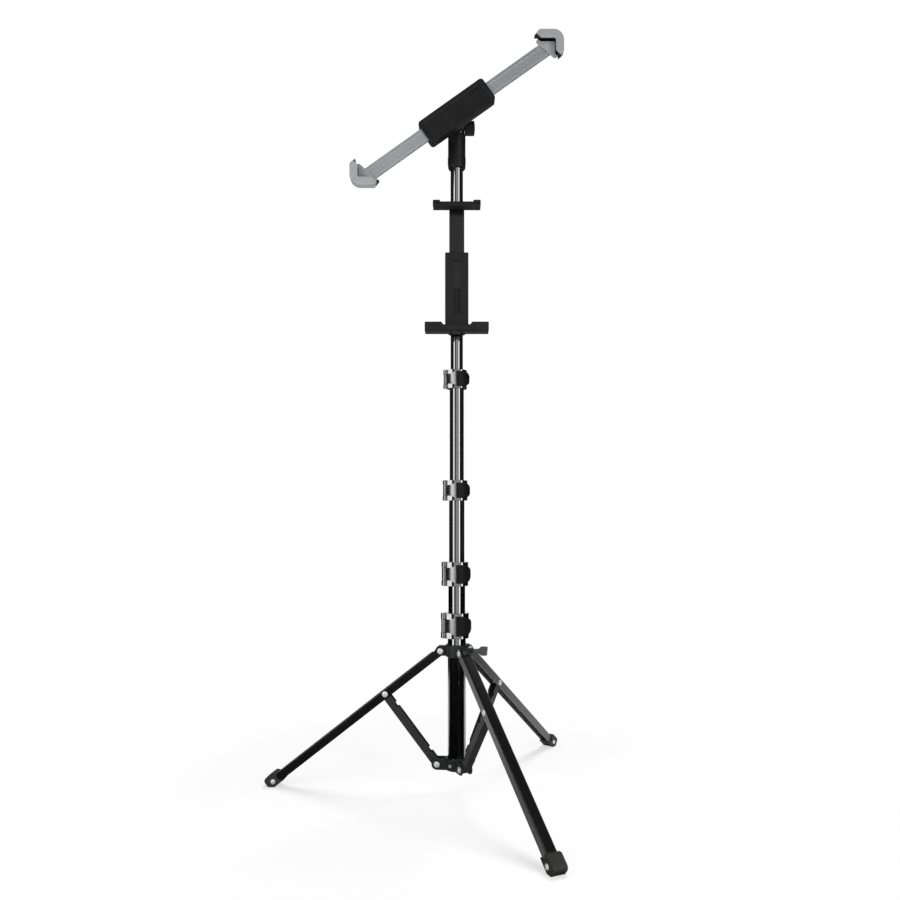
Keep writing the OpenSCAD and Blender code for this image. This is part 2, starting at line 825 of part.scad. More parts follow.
// The knob that clamps the phone holder on the top tube
module clamp_knob() {
    translate([0, 0, clamp_screw_z])
        rotate([-90, 0, 0]) {
            translate([0, 0, tube5_r + screw_room])
                cylinder(r = screw_r, h = clamp_r + head_h + tongue_room - tube5_r - screw_room + cut);
            translate([0, 0, clamp_r + head_h + tongue_room])
                difference() {
                    cylinder(r = clamp_knob_r, h = clamp_knob_len);
                    for (step = [0:7])
                        rotate([0, 0, step * 45])
                            translate([clamp_knob_r + head_h / 2, 0, -cut])
                                cylinder(r = head_h, h = clamp_knob_len + 2 * cut);
                }
        }
}

// The bar that slides in the holder's back
module slide_bar() {
    translate([-bar_w / 2, -back_y - back_t / 2 - bar_t / 2, phone_z + bar_z])
        cube([bar_w, bar_t, jaw_span - bar_z]);
}

// The upper jaw on the bar's end: a plate, a front lip and two raised ends
module upper_jaw() {
    z = phone_z + jaw_span;
    translate([-top_jaw_w / 2, -phone_lip_y - jaw_t, z])
        cube([top_jaw_w, phone_lip_y + jaw_t - back_y, top_jaw_t]);
    translate([-top_jaw_w / 2, -phone_lip_y - jaw_t, z - top_lip])
        cube([top_jaw_w, jaw_t, top_lip + top_jaw_t]);
    for (side = [0, 1])
        mirror([side, 0, 0])
            translate([top_jaw_w / 2 - top_end_w, -phone_lip_y - jaw_t, z])
                cube([top_end_w, phone_lip_y + jaw_t - back_y, top_jaw_t + top_end_h]);
}

// The rubber pad under the upper jaw
module upper_pad() {
    translate([-top_jaw_w / 2 + jaw_t, -phone_lip_y, phone_z + jaw_span - pad_t])
        cube([top_jaw_w - 2 * jaw_t, phone_gap, pad_t]);
}

// A pin or bore along the tilt axis
module along_tilt(r, low, high) {
    translate([low, 0, tilt_z])
        rotate([0, 90, 0])
            cylinder(r = r, h = high - low);
}

// The socket that turns on the top tube, with two ears for the tilt bolt
module socket_body() {
    low = tube5_top - socket_len;
    ear_in = tongue_half + tongue_room;
    roof = tilt_z - tongue_r - tongue_room;
    difference() {
        union() {
            translate([0, 0, low])
                cylinder(r = socket_r, h = roof - low);
            for (side = [0, 1])
                mirror([side, 0, 0]) {
                    along_tilt(tongue_r, ear_in, ear_in + ear_t);
                    translate([ear_in, -tongue_r, tube5_top + socket_roof])
                        cube([ear_t, 2 * tongue_r, tilt_z - tube5_top - socket_roof]);
                }
        }
        translate([0, 0, low - cut])
            cylinder(r = tube5_r + slide_fit, h = socket_len + cut);
        along_tilt(bolt_r + rivet_fit, -2 * socket_r, 2 * socket_r);
    }
}

// The tilt bracket: a tongue between the ears and a boss that faces the holder
module bracket_body() {
    difference() {
        union() {
            along_tilt(tongue_r, -tongue_half, tongue_half);
            translate([-tongue_half, -turn_back - cut, tilt_z - turn_arm])
                cube([2 * tongue_half, turn_back + cut, 2 * turn_arm]);
            translate([0, -turn_back, tilt_z])
                rotate([90, 0, 0])
                    cylinder(r = turn_r, h = turn_face - turn_back);
            translate([0, -turn_face, tilt_z])
                rotate([90, 0, 0])
                    cylinder(r = spindle_r, h = body_y + body_wall - washer_t - turn_face);
        }
        along_tilt(bolt_r + rivet_fit, -2 * tongue_half, 2 * tongue_half);
    }
}

// The knob and bolt of the tilt joint
module tilt_knob_body() {
    face = tongue_half + tongue_room + ear_t + tongue_room;
    along_tilt(bolt_r, -face - nut_t, face + cut);
    difference() {
        along_tilt(tilt_knob_r, face, face + tilt_knob_len);
        for (step = [0:5])
            translate([face - cut, 0, tilt_z])
                rotate([step * 60, 0, 0])
                    translate([0, 0, tilt_knob_r + head_h])
                        rotate([0, 90, 0])
                            cylinder(r = 2 * head_h, h = tilt_knob_len + 2 * cut);
    }
}

// The nut at the far end of the tilt bolt
module tilt_nut_body() {
    face = tongue_half + tongue_room + ear_t;
    difference() {
        translate([-face - nut_t, 0, tilt_z])
            rotate([0, 90, 0])
                cylinder(d = nut_d, h = nut_t, $fn = 6);
        along_tilt(bolt_r + rivet_fit, -2 * face, 0);
    }
}

// The washer that keeps the holder's body on the spindle
module washer_body() {
    translate([0, -body_y - body_wall + washer_t, tilt_z])
        rotate([90, 0, 0])
            cylinder(r = washer_r, h = washer_t);
}

// Places its children on the holder: X along the tablet's diagonal, Z towards the front
module on_holder() {
    translate([0, 0, tilt_z])
        rotate([90, 0, 0])
            rotate([0, 0, diagonal])
                children();
}

// The holder's body: a back wall with two side walls that guide the arms
module body_shell() {
    difference() {
        on_holder()
            translate([-body_half, -body_w / 2, body_y])
                cube([2 * body_half, body_w, cover_y - body_y]);
        on_holder()
            translate([-body_half - cut, -arm_w / 2 - arm_room, body_y + body_wall])
                cube([2 * (body_half + cut), arm_w + 2 * arm_room, cover_y]);
        on_holder()
            cylinder(r = spindle_r + rivet_fit, h = 2 * body_y);
        on_holder()
            translate([0, 0, body_y + body_wall - washer_t - arm_room])
                cylinder(r = washer_r + lever_room, h = body_wall);
    }
}

// The cover that closes the arm channel
module body_cover() {
    on_holder()
        translate([-body_half, -body_w / 2, cover_y])
            cube([2 * body_half, body_w, cover_t]);
}

// The outline of a claw at the lower left corner of the tablet, from the front
module claw_outline() {
    w = claw_wall;
    c = claw_corner;
    difference() {
        union() {
            translate([c - w, c - w])
                circle(r = c);
            polygon([
                [-w, c - w],
                [c - w, -w],
                [claw_len_x - claw_end, -w],
                [claw_len_x, claw_end - w],
                [claw_len_x - claw_lip - w + claw_end, claw_lip],
                [c - w, c - w],
                [claw_lip, claw_len_z - claw_lip - w + claw_end],
                [claw_end - w, claw_len_z],
                [-w, claw_len_z - claw_end]
            ]);
        }
        translate([claw_lip, claw_lip])
            square([2 * claw_len_x, 2 * claw_len_z]);
    }
}

// Places its children at the tablet's lower left corner, Z towards the front
module on_corner() {
    translate([0, 0, tilt_z])
        rotate([90, 0, 0])
            translate([-tablet_w / 2, -tablet_h / 2, 0])
                children();
}

// The pocket in a claw, round at the corner like the claw itself
module pocket_outline() {
    bend = claw_corner - claw_wall;
    translate([bend, bend])
        circle(r = bend + claw_pad);
    translate([bend, -claw_pad])
        square(2 * claw_len_x);
    translate([-claw_pad, bend])
        square(2 * claw_len_x);
}

// A claw: back web, outer wall and front lip round the tablet's corner
module claw() {
    on_corner() {
        difference() {
            translate([0, 0, claw_y])
                linear_extrude(height = claw_front - claw_y)
                    claw_outline();
            translate([0, 0, tablet_back])
                linear_extrude(height = tablet_gap)
                    pocket_outline();
        }
        translate([0, 0, claw_y])
            linear_extrude(height = claw_back)
                polygon([
                    [0, 0],
                    [claw_len_x - claw_end, 0],
                    [claw_len_x, claw_lip],
                    [claw_lip, claw_len_z],
                    [0, claw_len_z - claw_end]
                ]);
    }
}

// A claw's rubber pad: an angle whose ends are cut in line with the claw's
module claw_rubber() {
    tip_x = claw_len_x + claw_wall - claw_end;
    tip_z = claw_len_z + claw_wall - claw_end;
    on_corner()
        translate([0, 0, tablet_back])
            linear_extrude(height = tablet_gap)
                intersection() {
                    pocket_outline();
                    polygon([
                        [-claw_pad, -claw_pad],
                        [tip_x - claw_pad, -claw_pad],
                        [tip_x - pad_blunt, -pad_blunt],
                        [tip_x - pad_blunt, 0],
                        [0, 0],
                        [0, tip_z - pad_blunt],
                        [-pad_blunt, tip_z - pad_blunt],
                        [-claw_pad, tip_z - claw_pad]
                    ]);
                }
}

// An arm along the diagonal between two distances from the turning axis
module arm(low, high) {
    on_holder()
        translate([low, -arm_w / 2, arm_y])
            cube([high - low, arm_w, arm_t]);
}

module base_tube() { color(black) tube_between(base_r, hub_bottom + hub_floor, base_top); }
module hub() { color(satin) hub_body(); }
module hub_rivets() { color(steel) hub_rivet_set(); }
module hub_screw() { color(steel) hub_set_screw(); }
module lock4_ring() { color(black) lock_ring(base_r, tube2_r, lock4_z, lock4_h, barrel_big_r); }
module lock4_pin() { color(steel) lock_pin(base_r, lock4_z, lock4_h); }
module lock4_lever() { color(satin) lock_lever(base_r, lock4_z, lock4_h, barrel_big_r); }
module tube2() { color(black) tube_between(tube2_r, tube2_top - tube2_len, tube2_top); }
module tube2_guide() { color(satin) guide(tube2_r, base_r, tube2_top - tube2_len); }
module lock3_ring() { color(black) lock_ring(tube2_r, tube3_r, lock3_z, lock3_h, barrel_big_r); }
module lock3_pin() { color(steel) lock_pin(tube2_r, lock3_z, lock3_h); }
module lock3_lever() { color(satin) lock_lever(tube2_r, lock3_z, lock3_h, barrel_big_r); }
module tube3() { color(black) tube_between(tube3_r, tube3_top - tube3_len, tube3_top); }
module tube3_guide() { color(satin) guide(tube3_r, tube2_r, tube3_top - tube3_len); }
module lock2_ring() { color(black) lock_ring(tube3_r, tube4_r, lock2_z, lock2_h, barrel_small_r); }
module lock2_pin() { color(steel) lock_pin(tube3_r, lock2_z, lock2_h); }
module lock2_lever() { color(satin) lock_lever(tube3_r, lock2_z, lock2_h, barrel_small_r); }
module tube4() { color(black) tube_between(tube4_r, tube4_top - tube4_len, tube4_top); }
module tube4_guide() { color(satin) guide(tube4_r, tube3_r, tube4_top - tube4_len); }
module lock1_ring() { color(black) lock_ring(tube4_r, tube5_r, lock1_z, lock1_h, barrel_small_r); }
module lock1_pin() { color(steel) lock_pin(tube4_r, lock1_z, lock1_h); }
module lock1_lever() { color(satin) lock_lever(tube4_r, lock1_z, lock1_h, barrel_small_r); }
module tube5() { color(black) tube_between(tube5_r, tube5_low, tube5_top); }
module tube5_guide() { color(satin) guide(tube5_r, tube4_r, tube5_low); }
module leg_collar() { color(satin) collar_body(); }
module wing_knob() { color(satin) knob_body(); }
module leg_left() { color(satin) leg(leg_marks[0]); }
module leg_left_rivets() { color(steel) leg_rivets(leg_marks[0]); }
module foot_left() { color(rubber) foot(leg_marks[0]); }
module brace_left() { color(satin) brace(leg_marks[0]); }
module leg_front() { color(satin) leg(leg_marks[1]); }
module leg_front_rivets() { color(steel) leg_rivets(leg_marks[1]); }
module foot_front() { color(rubber) foot(leg_marks[1]); }
module brace_front() { color(satin) brace(leg_marks[1]); }
module leg_rear() { color(satin) leg(leg_marks[2]); }
module leg_rear_rivets() { color(steel) leg_rivets(leg_marks[2]); }
module foot_rear() { color(rubber) foot(leg_marks[2]); }
module brace_rear() { color(satin) brace(leg_marks[2]); }
module phone_bracket() { color(satin) phone_bracket_body(); }
module phone_jaw_lower() { color(satin) lower_jaw(); }
module phone_pad_lower() { color(rubber) lower_pad(); }
module phone_clamp_knob() { color(satin) clamp_knob(); }
module phone_bar() { color(satin) slide_bar(); }
module phone_jaw_upper() { color(satin) upper_jaw(); }
module phone_pad_upper() { color(rubber) upper_pad(); }
module head_socket() { color(satin) socket_body(); }
module tilt_bracket() { color(satin) bracket_body(); }
module tilt_knob() { color(satin) tilt_knob_body(); }
module tilt_nut() { color(steel) tilt_nut_body(); }
module turn_washer() { color(steel) washer_body(); }
module holder_body() { color(satin) body_shell(); }
module holder_cover() { color(satin) body_cover(); }
module arm_fixed() { color(grey) arm(arm_short - half_diagonal, -fixed_in); }
module claw_lower() { color(grey) claw(); }
module claw_pad_lower() { color(rubber) claw_rubber(); }
module arm_slide() { color(grey) arm(slide_in, half_diagonal - arm_short); }
module claw_upper() { color(grey) opposite() claw(); }
module claw_pad_upper() { color(rubber) opposite() claw_rubber(); }

// Turns its children half a turn about the turning axis
module opposite() {
    translate([0, 0, tilt_z])
        rotate([0, 180, 0])
            translate([0, 0, -tilt_z])
                children();
}

base_tube();
hub();
hub_rivets();
hub_screw();
lock4_ring();
lock4_pin();
lock4_lever();
tube2();
tube2_guide();
lock3_ring();
lock3_pin();
lock3_lever();
tube3();
tube3_guide();
lock2_ring();
lock2_pin();
lock2_lever();
tube4();
tube4_guide();
lock1_ring();
lock1_pin();
lock1_lever();
tube5();
tube5_guide();
leg_collar();
wing_knob();
leg_left();
leg_left_rivets();
foot_left();
brace_left();
leg_front();
leg_front_rivets();
foot_front();
brace_front();
leg_rear();
leg_rear_rivets();
foot_rear();
brace_rear();
phone_bracket();
phone_jaw_lower();
phone_pad_lower();
phone_clamp_knob();
phone_bar();
phone_jaw_upper();
phone_pad_upper();
head_socket();
tilt_bracket();
tilt_knob();
tilt_nut();
turn_washer();
holder_body();
holder_cover();
arm_fixed();
claw_lower();
claw_pad_lower();
arm_slide();
claw_upper();
claw_pad_upper();
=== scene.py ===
import math

import bmesh
import bpy
from mathutils import Matrix, Vector


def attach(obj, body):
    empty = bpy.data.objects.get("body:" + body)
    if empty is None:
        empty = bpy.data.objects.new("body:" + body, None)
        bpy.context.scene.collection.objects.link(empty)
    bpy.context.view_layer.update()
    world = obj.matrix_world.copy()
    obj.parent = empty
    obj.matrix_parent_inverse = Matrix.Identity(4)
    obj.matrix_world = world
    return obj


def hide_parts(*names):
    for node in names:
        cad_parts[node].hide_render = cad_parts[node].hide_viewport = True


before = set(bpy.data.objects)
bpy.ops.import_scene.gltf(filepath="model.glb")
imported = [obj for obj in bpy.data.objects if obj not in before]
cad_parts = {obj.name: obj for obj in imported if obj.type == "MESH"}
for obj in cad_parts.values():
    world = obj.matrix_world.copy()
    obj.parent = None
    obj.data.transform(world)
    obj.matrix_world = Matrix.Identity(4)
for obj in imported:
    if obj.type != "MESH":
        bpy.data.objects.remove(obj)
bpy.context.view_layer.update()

# Viewpoint: a level camera in front of the stand, at about the height of the second lock.
# The small shifts put the mast and the horizon where the photograph has them.
scene = bpy.context.scene


def linked(title, data):
    thing = bpy.data.objects.new(title, data)
    scene.collection.objects.link(thing)
    return thing


view_lens = bpy.data.cameras.new("viewpoint")
view_lens.sensor_width = 36.0
view_lens.lens = 30.88
view_lens.shift_x = -0.0075
view_lens.shift_y = 0.0656
viewpoint = linked("viewpoint", view_lens)
viewpoint.location = (0.0, -0.942, 0.3452)
viewpoint.rotation_euler = (math.radians(90.0), 0.0, 0.0)
scene.camera = viewpoint
scene.view_settings.view_transform = "Standard"

# Studio: a white paper sweep behind and below, two tall light panels at the sides and a dim one
# between them. A lamp high up behind the stand throws the soft shadows that run in from the feet.
# The paper glows to the eye except round the feet, and gloss sees it only behind the stand.
AMBIENT = 0.25
SWEEP_EDGE, SWEEP_FULL, SWEEP_DARK = 0.88, 0.98, 0.02


def feed(tree, socket, term):
    if isinstance(term, float):
        socket.default_value = term
    else:
        tree.links.new(term, socket)


def ramped(tree, source, low, high, at_low=0.0, at_high=1.0, kind="SMOOTHSTEP"):
    ramp = tree.nodes.new("ShaderNodeMapRange")
    ramp.interpolation_type = kind
    for title, term in (("Value", source), ("From Min", low), ("From Max", high),
                        ("To Min", at_low), ("To Max", at_high)):
        feed(tree, ramp.inputs[title], term)
    return ramp.outputs["Result"]


def calculated(tree, operation, *terms):
    node = tree.nodes.new("ShaderNodeMath")
    node.operation = operation
    for socket, term in zip(node.inputs, terms):
        feed(tree, socket, term)
    return node.outputs[0]


def mixed(tree, share, first, second):
    node = tree.nodes.new("ShaderNodeMix")
    for index, term in ((0, share), (2, first), (3, second)):
        feed(tree, node.inputs[index], term)
    return node.outputs[0]


def split(tree, vector):
    node = tree.nodes.new("ShaderNodeSeparateXYZ")
    tree.links.new(vector, node.inputs[0])
    return node.outputs


def as_mesh(title, shape):
    mesh = bpy.data.meshes.new(title)
    shape.to_mesh(mesh)
    shape.free()
    return mesh


sky = bpy.data.worlds.new("paper_sweep")
sky.use_nodes = True
scene.world = sky
sky_tree = sky.node_tree
sky_rays = sky_tree.nodes.new("ShaderNodeLightPath").outputs
heading = split(sky_tree, sky_tree.nodes.new("ShaderNodeTexCoord").outputs["Generated"])
sweep = ramped(sky_tree, heading["Y"], SWEEP_EDGE, SWEEP_FULL, SWEEP_DARK)
sky_seen = calculated(sky_tree, "MAXIMUM", sky_rays["Is Camera Ray"], sky_rays["Is Transmission Ray"])
gloss_or_fill = mixed(sky_tree, sky_rays["Is Glossy Ray"], AMBIENT, sweep)
paint = sky_tree.nodes["Background"].inputs
paint["Color"].default_value = (1.0, 1.0, 1.0, 1.0)
sky_tree.links.new(mixed(sky_tree, sky_seen, gloss_or_fill, 1.0), paint["Strength"])

for title, place, target, width, height, radiance, in_gloss in (
    ("panel_left", (-0.549, -0.511, 0.59), (0.0, 0.0, 0.59), 0.29, 1.11, 2.5, True),
    ("panel_right", (0.492, -0.566, 0.59), (0.0, 0.0, 0.59), 0.18, 1.11, 3.5, True),
    ("fill_front", (0.098, -0.744, 0.59), (0.0, 0.0, 0.59), 0.65, 1.11, 0.65, True),
    ("overhead", (0.46, 0.79, 2.2), (0.0, 0.0, 0.0), 0.8, 0.8, 16.0, False),
):
    lamp = bpy.data.lights.new(title, "AREA")
    lamp.shape = "RECTANGLE"
    lamp.size, lamp.size_y = width, height
    lamp.energy = radiance * math.pi * width * height
    stand = linked(title, lamp)
    stand.location = place
    aim = Vector(target) - Vector(place)
    stand.rotation_euler = aim.to_track_quat("-Z", "Y").to_euler()
    stand.visible_camera = False
    stand.visible_glossy = in_gloss

FLOOR_HALF, FLOOR_SQUARES, FLOOR_DROP, PAPER_WHITE = 4.0, 8, 0.0003, 0.98
GLOW_MIDDLE, GLOW_FEET, GLOW_OUTSIDE = 0.88, 0.6, 1.0
MIDDLE_R, FEET_R_IN, FEET_R_OUT, OUTSIDE_R = 0.04, 0.2, 0.26, 0.45
MIRROR_R_IN, MIRROR_R_OUT, MIRROR_TONE = 0.55, 0.8, 0.9
WEDGE_SLOPE, WEDGE_FROM, WEDGE_TO = -0.3, -0.03, 0.05
paper = bmesh.new()
bmesh.ops.create_grid(paper, x_segments=FLOOR_SQUARES, y_segments=FLOOR_SQUARES, size=FLOOR_HALF)
bmesh.ops.translate(paper, vec=(0.0, 0.0, -FLOOR_DROP), verts=paper.verts)
paper_mesh = as_mesh("floor", paper)
floor = linked("floor", paper_mesh)
white_paper = bpy.data.materials.new("white_paper")
white_paper.use_nodes = True
white_paper.cycles.emission_sampling = "NONE"
paper_mesh.materials.append(white_paper)
floor_tree = white_paper.node_tree
floor_tree.nodes.remove(floor_tree.nodes["Principled BSDF"])
matt = floor_tree.nodes.new("ShaderNodeBsdfDiffuse")
glow = floor_tree.nodes.new("ShaderNodeEmission")
glow.inputs["Strength"].default_value = 1.0
on_floor = floor_tree.nodes.new("ShaderNodeTexCoord").outputs["Object"]
length = floor_tree.nodes.new("ShaderNodeVectorMath")
length.operation = "LENGTH"
floor_tree.links.new(on_floor, length.inputs[0])
reach = length.outputs["Value"]
outside = ramped(floor_tree, reach, FEET_R_OUT, OUTSIDE_R, GLOW_FEET, GLOW_OUTSIDE)
# Towards the middle the glow rises again: painted light that pales the shadows under the hub and
# braces.
inside = ramped(floor_tree, reach, MIDDLE_R, FEET_R_IN, GLOW_MIDDLE, GLOW_FEET)
glow_share = calculated(floor_tree, "MAXIMUM", outside, inside)
near = ramped(floor_tree, reach, MIRROR_R_IN, MIRROR_R_OUT, MIRROR_TONE, 0.0)
flat = split(floor_tree, on_floor)
aside = calculated(floor_tree, "ABSOLUTE", flat["X"])
wedge = calculated(floor_tree, "MULTIPLY_ADD", aside, WEDGE_SLOPE, flat["Y"])
behind = ramped(floor_tree, wedge, WEDGE_FROM, WEDGE_TO)
mirrored = calculated(floor_tree, "MULTIPLY", near, behind)
floor_rays = floor_tree.nodes.new("ShaderNodeLightPath").outputs
tone = mixed(floor_tree, floor_rays["Is Glossy Ray"], PAPER_WHITE, mirrored)
floor_tree.links.new(tone, matt.inputs["Color"])
floor_seen = calculated(floor_tree, "MAXIMUM", floor_rays["Is Camera Ray"],
                        floor_rays["Is Transmission Ray"])
blend = floor_tree.nodes.new("ShaderNodeMixShader")
blend_share = calculated(floor_tree, "MULTIPLY", glow_share, floor_seen)
for socket, term in zip(blend.inputs, (blend_share, matt.outputs[0], glow.outputs[0])):
    floor_tree.links.new(term, socket)
floor_tree.links.new(blend.outputs[0], floor_tree.nodes["Material Output"].inputs["Surface"])

# Hub: a moulded nylon socket at the foot of the mast, with three pairs of lugs for the braces.
# It is a little greenish grey and satin, and a bright set screw holds it on the base tube.
LEG_AZIMUTHS = {"left": 174.0, "front": -66.0, "rear": 54.0}
BASE_R = 10.95
HUB_R, HUB_LOW, HUB_HIGH, HUB_FLOOR = 14.0, 28.4, 42.5, 4.0
HUB_PIVOT_R, HUB_PIVOT_Z, HUB_LUG_R, HUB_FIT, HUB_EDGE = 23.7, 35.0, 6.6, 0.03, 0.9
CLEVIS_IN, CLEVIS_T, CLEVIS_ROOT, CLEVIS_EDGE, ROUND_SHY = 5.0, 2.2, 12.0, 0.5, 0.1
WELD, METRES = 0.001, (0.001, 0.001, 0.001)


def lathe(profile, steps=64):
    shape = bmesh.new()
    points = [shape.verts.new((r, 0.0, z)) for r, z in profile]
    pairs = list(zip(points, points[1:]))
    starts_on_axis = profile[0][0] == 0.0
    if not starts_on_axis:
        pairs.append((points[-1], points[0]))
    lines = [shape.edges.new(pair) for pair in pairs]
    bmesh.ops.spin(shape, geom=points + lines, cent=(0, 0, 0), axis=(0, 0, 1),
                   angle=math.tau, steps=steps, use_merge=True)
    bmesh.ops.remove_doubles(shape, verts=shape.verts, dist=WELD)
    bmesh.ops.recalc_face_normals(shape, faces=shape.faces)
    return shape


def sleeve(bore, radius, low, high, steps=64):
    return lathe([(bore, low), (radius, low), (radius, high), (bore, high)], steps)


def bevelled(shape, geom, radius, segments, kind, clamp=False):
    bmesh.ops.bevel(shape, geom=geom, offset=radius, offset_type="OFFSET", affect=kind,
                    segments=segments, profile=0.5, material=-1, clamp_overlap=clamp)


def slab(outline, depth, rounds=(), segments=6):
    shape = bmesh.new()
    corners = [shape.verts.new((x, y, 0.0)) for x, y in outline]
    shape.faces.new(corners)
    for radius, picks in rounds:
        bevelled(shape, [corners[i] for i in picks], radius, segments, "VERTICES")
    grown = bmesh.ops.extrude_face_region(shape, geom=shape.faces[:])
    lifted = [v for v in grown["geom"] if isinstance(v, bmesh.types.BMVert)]
    bmesh.ops.translate(shape, vec=(0.0, 0.0, depth), verts=lifted)
    bmesh.ops.recalc_face_normals(shape, faces=shape.faces)
    return shape


def plate(low, high, width, depth, curve, segments, corners=(0, 1, 2, 3)):
    outline = [(low, -width / 2), (high, -width / 2), (high, width / 2), (low, width / 2)]
    return slab(outline, depth, [(curve, corners)], segments)


def block(low, high):
    shape = bmesh.new()
    bmesh.ops.create_cube(shape, size=1.0)
    low, high = Vector(low), Vector(high)
    bmesh.ops.scale(shape, vec=high - low, verts=shape.verts)
    bmesh.ops.translate(shape, vec=(low + high) / 2, verts=shape.verts)
    return shape


def soften(shape, width, segments=3, above=40.0):
    limit = math.radians(above)
    edges = [e for e in shape.edges if len(e.link_faces) == 2 and e.calc_face_angle(0.0) > limit]
    bevelled(shape, edges, width, segments, "EDGES", clamp=True)
    return shape


def placed(shape, matrix):
    bmesh.ops.transform(shape, matrix=matrix, verts=shape.verts)
    return shape


def joined(first, *others):
    for other in others:
        carrier = as_mesh("carrier", other)
        first.from_mesh(carrier)
        bpy.data.meshes.remove(carrier)
    return first


def moved(x, y, z):
    return Matrix.Translation((x, y, z))


def raised(z):
    return moved(0.0, 0.0, z)


def turned(degrees, axis):
    return Matrix.Rotation(math.radians(degrees), 4, axis)


UPRIGHT = turned(90.0, "X")


def hand_over(title, shape, materials, body, node, crease=32.0):
    bmesh.ops.recalc_face_normals(shape, faces=shape.faces)
    bmesh.ops.scale(shape, vec=METRES, verts=shape.verts)
    limit = math.radians(crease)
    for face in shape.faces:
        face.smooth = True
    for edge in shape.edges:
        if len(edge.link_faces) == 2 and edge.calc_face_angle(0.0) > limit:
            edge.smooth = False
    mesh = as_mesh(title, shape)
    for material in materials if isinstance(materials, tuple) else (materials,):
        mesh.materials.append(material)
    piece = linked(title, mesh)
    even = piece.modifiers.new("even", "WEIGHTED_NORMAL")
    even.keep_sharp = True
    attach(piece, body)
    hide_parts(node)


NOISE_SPAN, BLOTCH_DETAIL, GRAIN_DETAIL, RELIEF_DEPTH = (0.3, 0.7), 4.0, 2.0, 0.00001
fine_texture = bpy.data.node_groups.new("fine_texture", "ShaderNodeTree")
for title, way, kind in (
    ("Vector", "INPUT", "Vector"), ("Blotch Scale", "INPUT", "Float"),
    ("Grain Scale", "INPUT", "Float"), ("Grain Depth", "INPUT", "Float"),
    ("Mask", "OUTPUT", "Float"), ("Grain", "OUTPUT", "Float"), ("Normal", "OUTPUT", "Vector"),
):
    fine_texture.interface.new_socket(name=title, in_out=way, socket_type="NodeSocket" + kind)
given = fine_texture.nodes.new("NodeGroupInput")
result = fine_texture.nodes.new("NodeGroupOutput")
blotch_noise = fine_texture.nodes.new("ShaderNodeTexNoise")
blotch_noise.inputs["Detail"].default_value = BLOTCH_DETAIL
grain_noise = fine_texture.nodes.new("ShaderNodeTexNoise")
grain_noise.inputs["Detail"].default_value = GRAIN_DETAIL
contrast = ramped(fine_texture, blotch_noise.outputs["Fac"], *NOISE_SPAN, kind="LINEAR")
relief = fine_texture.nodes.new("ShaderNodeBump")
relief.inputs["Distance"].default_value = RELIEF_DEPTH
for start, end in (
    (given.outputs["Vector"], blotch_noise.inputs["Vector"]),
    (given.outputs["Vector"], grain_noise.inputs["Vector"]),
    (given.outputs["Blotch Scale"], blotch_noise.inputs["Scale"]),
    (given.outputs["Grain Scale"], grain_noise.inputs["Scale"]),
    (given.outputs["Grain Depth"], relief.inputs["Strength"]),
    (grain_noise.outputs["Fac"], relief.inputs["Height"]),
    (contrast, result.inputs["Mask"]),
    (grain_noise.outputs["Fac"], result.inputs["Grain"]),
    (relief.outputs["Normal"], result.inputs["Normal"]),
):
    fine_texture.links.new(start, end)


def finish(title, dark, light, rough, blotch, grain, depth, stretch=(1.0, 1.0, 1.0), lean=0.0,
           **sockets):
    material = bpy.data.materials.new(title)
    material.use_nodes = True
    nodes, links = material.node_tree.nodes, material.node_tree.links
    shader = nodes["Principled BSDF"]
    spot = nodes.new("ShaderNodeTexCoord")
    mapping = nodes.new("ShaderNodeMapping")
    mapping.inputs["Rotation"].default_value = (0.0, lean, 0.0)
    mapping.inputs["Scale"].default_value = stretch
    links.new(spot.outputs["Object"], mapping.inputs["Vector"])
    detail = nodes.new("ShaderNodeGroup")
    detail.node_tree = fine_texture
    detail.inputs["Blotch Scale"].default_value = blotch
    detail.inputs["Grain Scale"].default_value = grain
    detail.inputs["Grain Depth"].default_value = depth
    links.new(mapping.outputs["Vector"], detail.inputs["Vector"])
    tint = nodes.new("ShaderNodeMix")
    tint.data_type = "RGBA"
    tint.inputs[6].default_value = (*dark, 1.0)
    tint.inputs[7].default_value = (*light, 1.0)
    links.new(detail.outputs["Mask"], tint.inputs[0])
    links.new(tint.outputs[2], shader.inputs["Base Color"])
    gloss = ramped(material.node_tree, detail.outputs["Grain"], *NOISE_SPAN, *rough, "LINEAR")
    links.new(gloss, shader.inputs["Roughness"])
    links.new(detail.outputs["Normal"], shader.inputs["Normal"])
    for socket, value in sockets.items():
        shader.inputs[socket.replace("_", " ")].default_value = value
    return material


satin_nylon = finish("satin_nylon", (0.015, 0.019, 0.0175), (0.023, 0.028, 0.0265), (0.34, 0.48),
                     60.0, 2400.0, 0.25, Specular_IOR_Level=0.4)
bright_nickel = finish("bright_nickel", (0.80, 0.80, 0.79), (0.92, 0.92, 0.91), (0.3, 0.36),
                       180.0, 3000.0, 0.03, Metallic=0.4)


def leg_turn(name):
    return turned(LEG_AZIMUTHS[name], "Z")


hub_bore = BASE_R + HUB_FIT
hub_shape = lathe([(0.0, HUB_LOW), (HUB_R, HUB_LOW), (HUB_R, HUB_HIGH), (hub_bore, HUB_HIGH),
                   (hub_bore, HUB_LOW + HUB_FLOOR), (0.0, HUB_LOW + HUB_FLOOR)])
soften(hub_shape, HUB_EDGE)
for name in LEG_AZIMUTHS:
    for start in (-CLEVIS_IN, CLEVIS_IN + CLEVIS_T):
        cheek = plate(CLEVIS_ROOT, HUB_PIVOT_R + HUB_LUG_R, 2 * HUB_LUG_R, CLEVIS_T,
                      HUB_LUG_R - ROUND_SHY, 10, (1, 2))
        soften(cheek, CLEVIS_EDGE)
        placed(cheek, leg_turn(name) @ moved(0.0, start, HUB_PIVOT_Z) @ UPRIGHT)
        joined(hub_shape, cheek)
hand_over("hub_moulding", hub_shape, satin_nylon, "base", "hub")

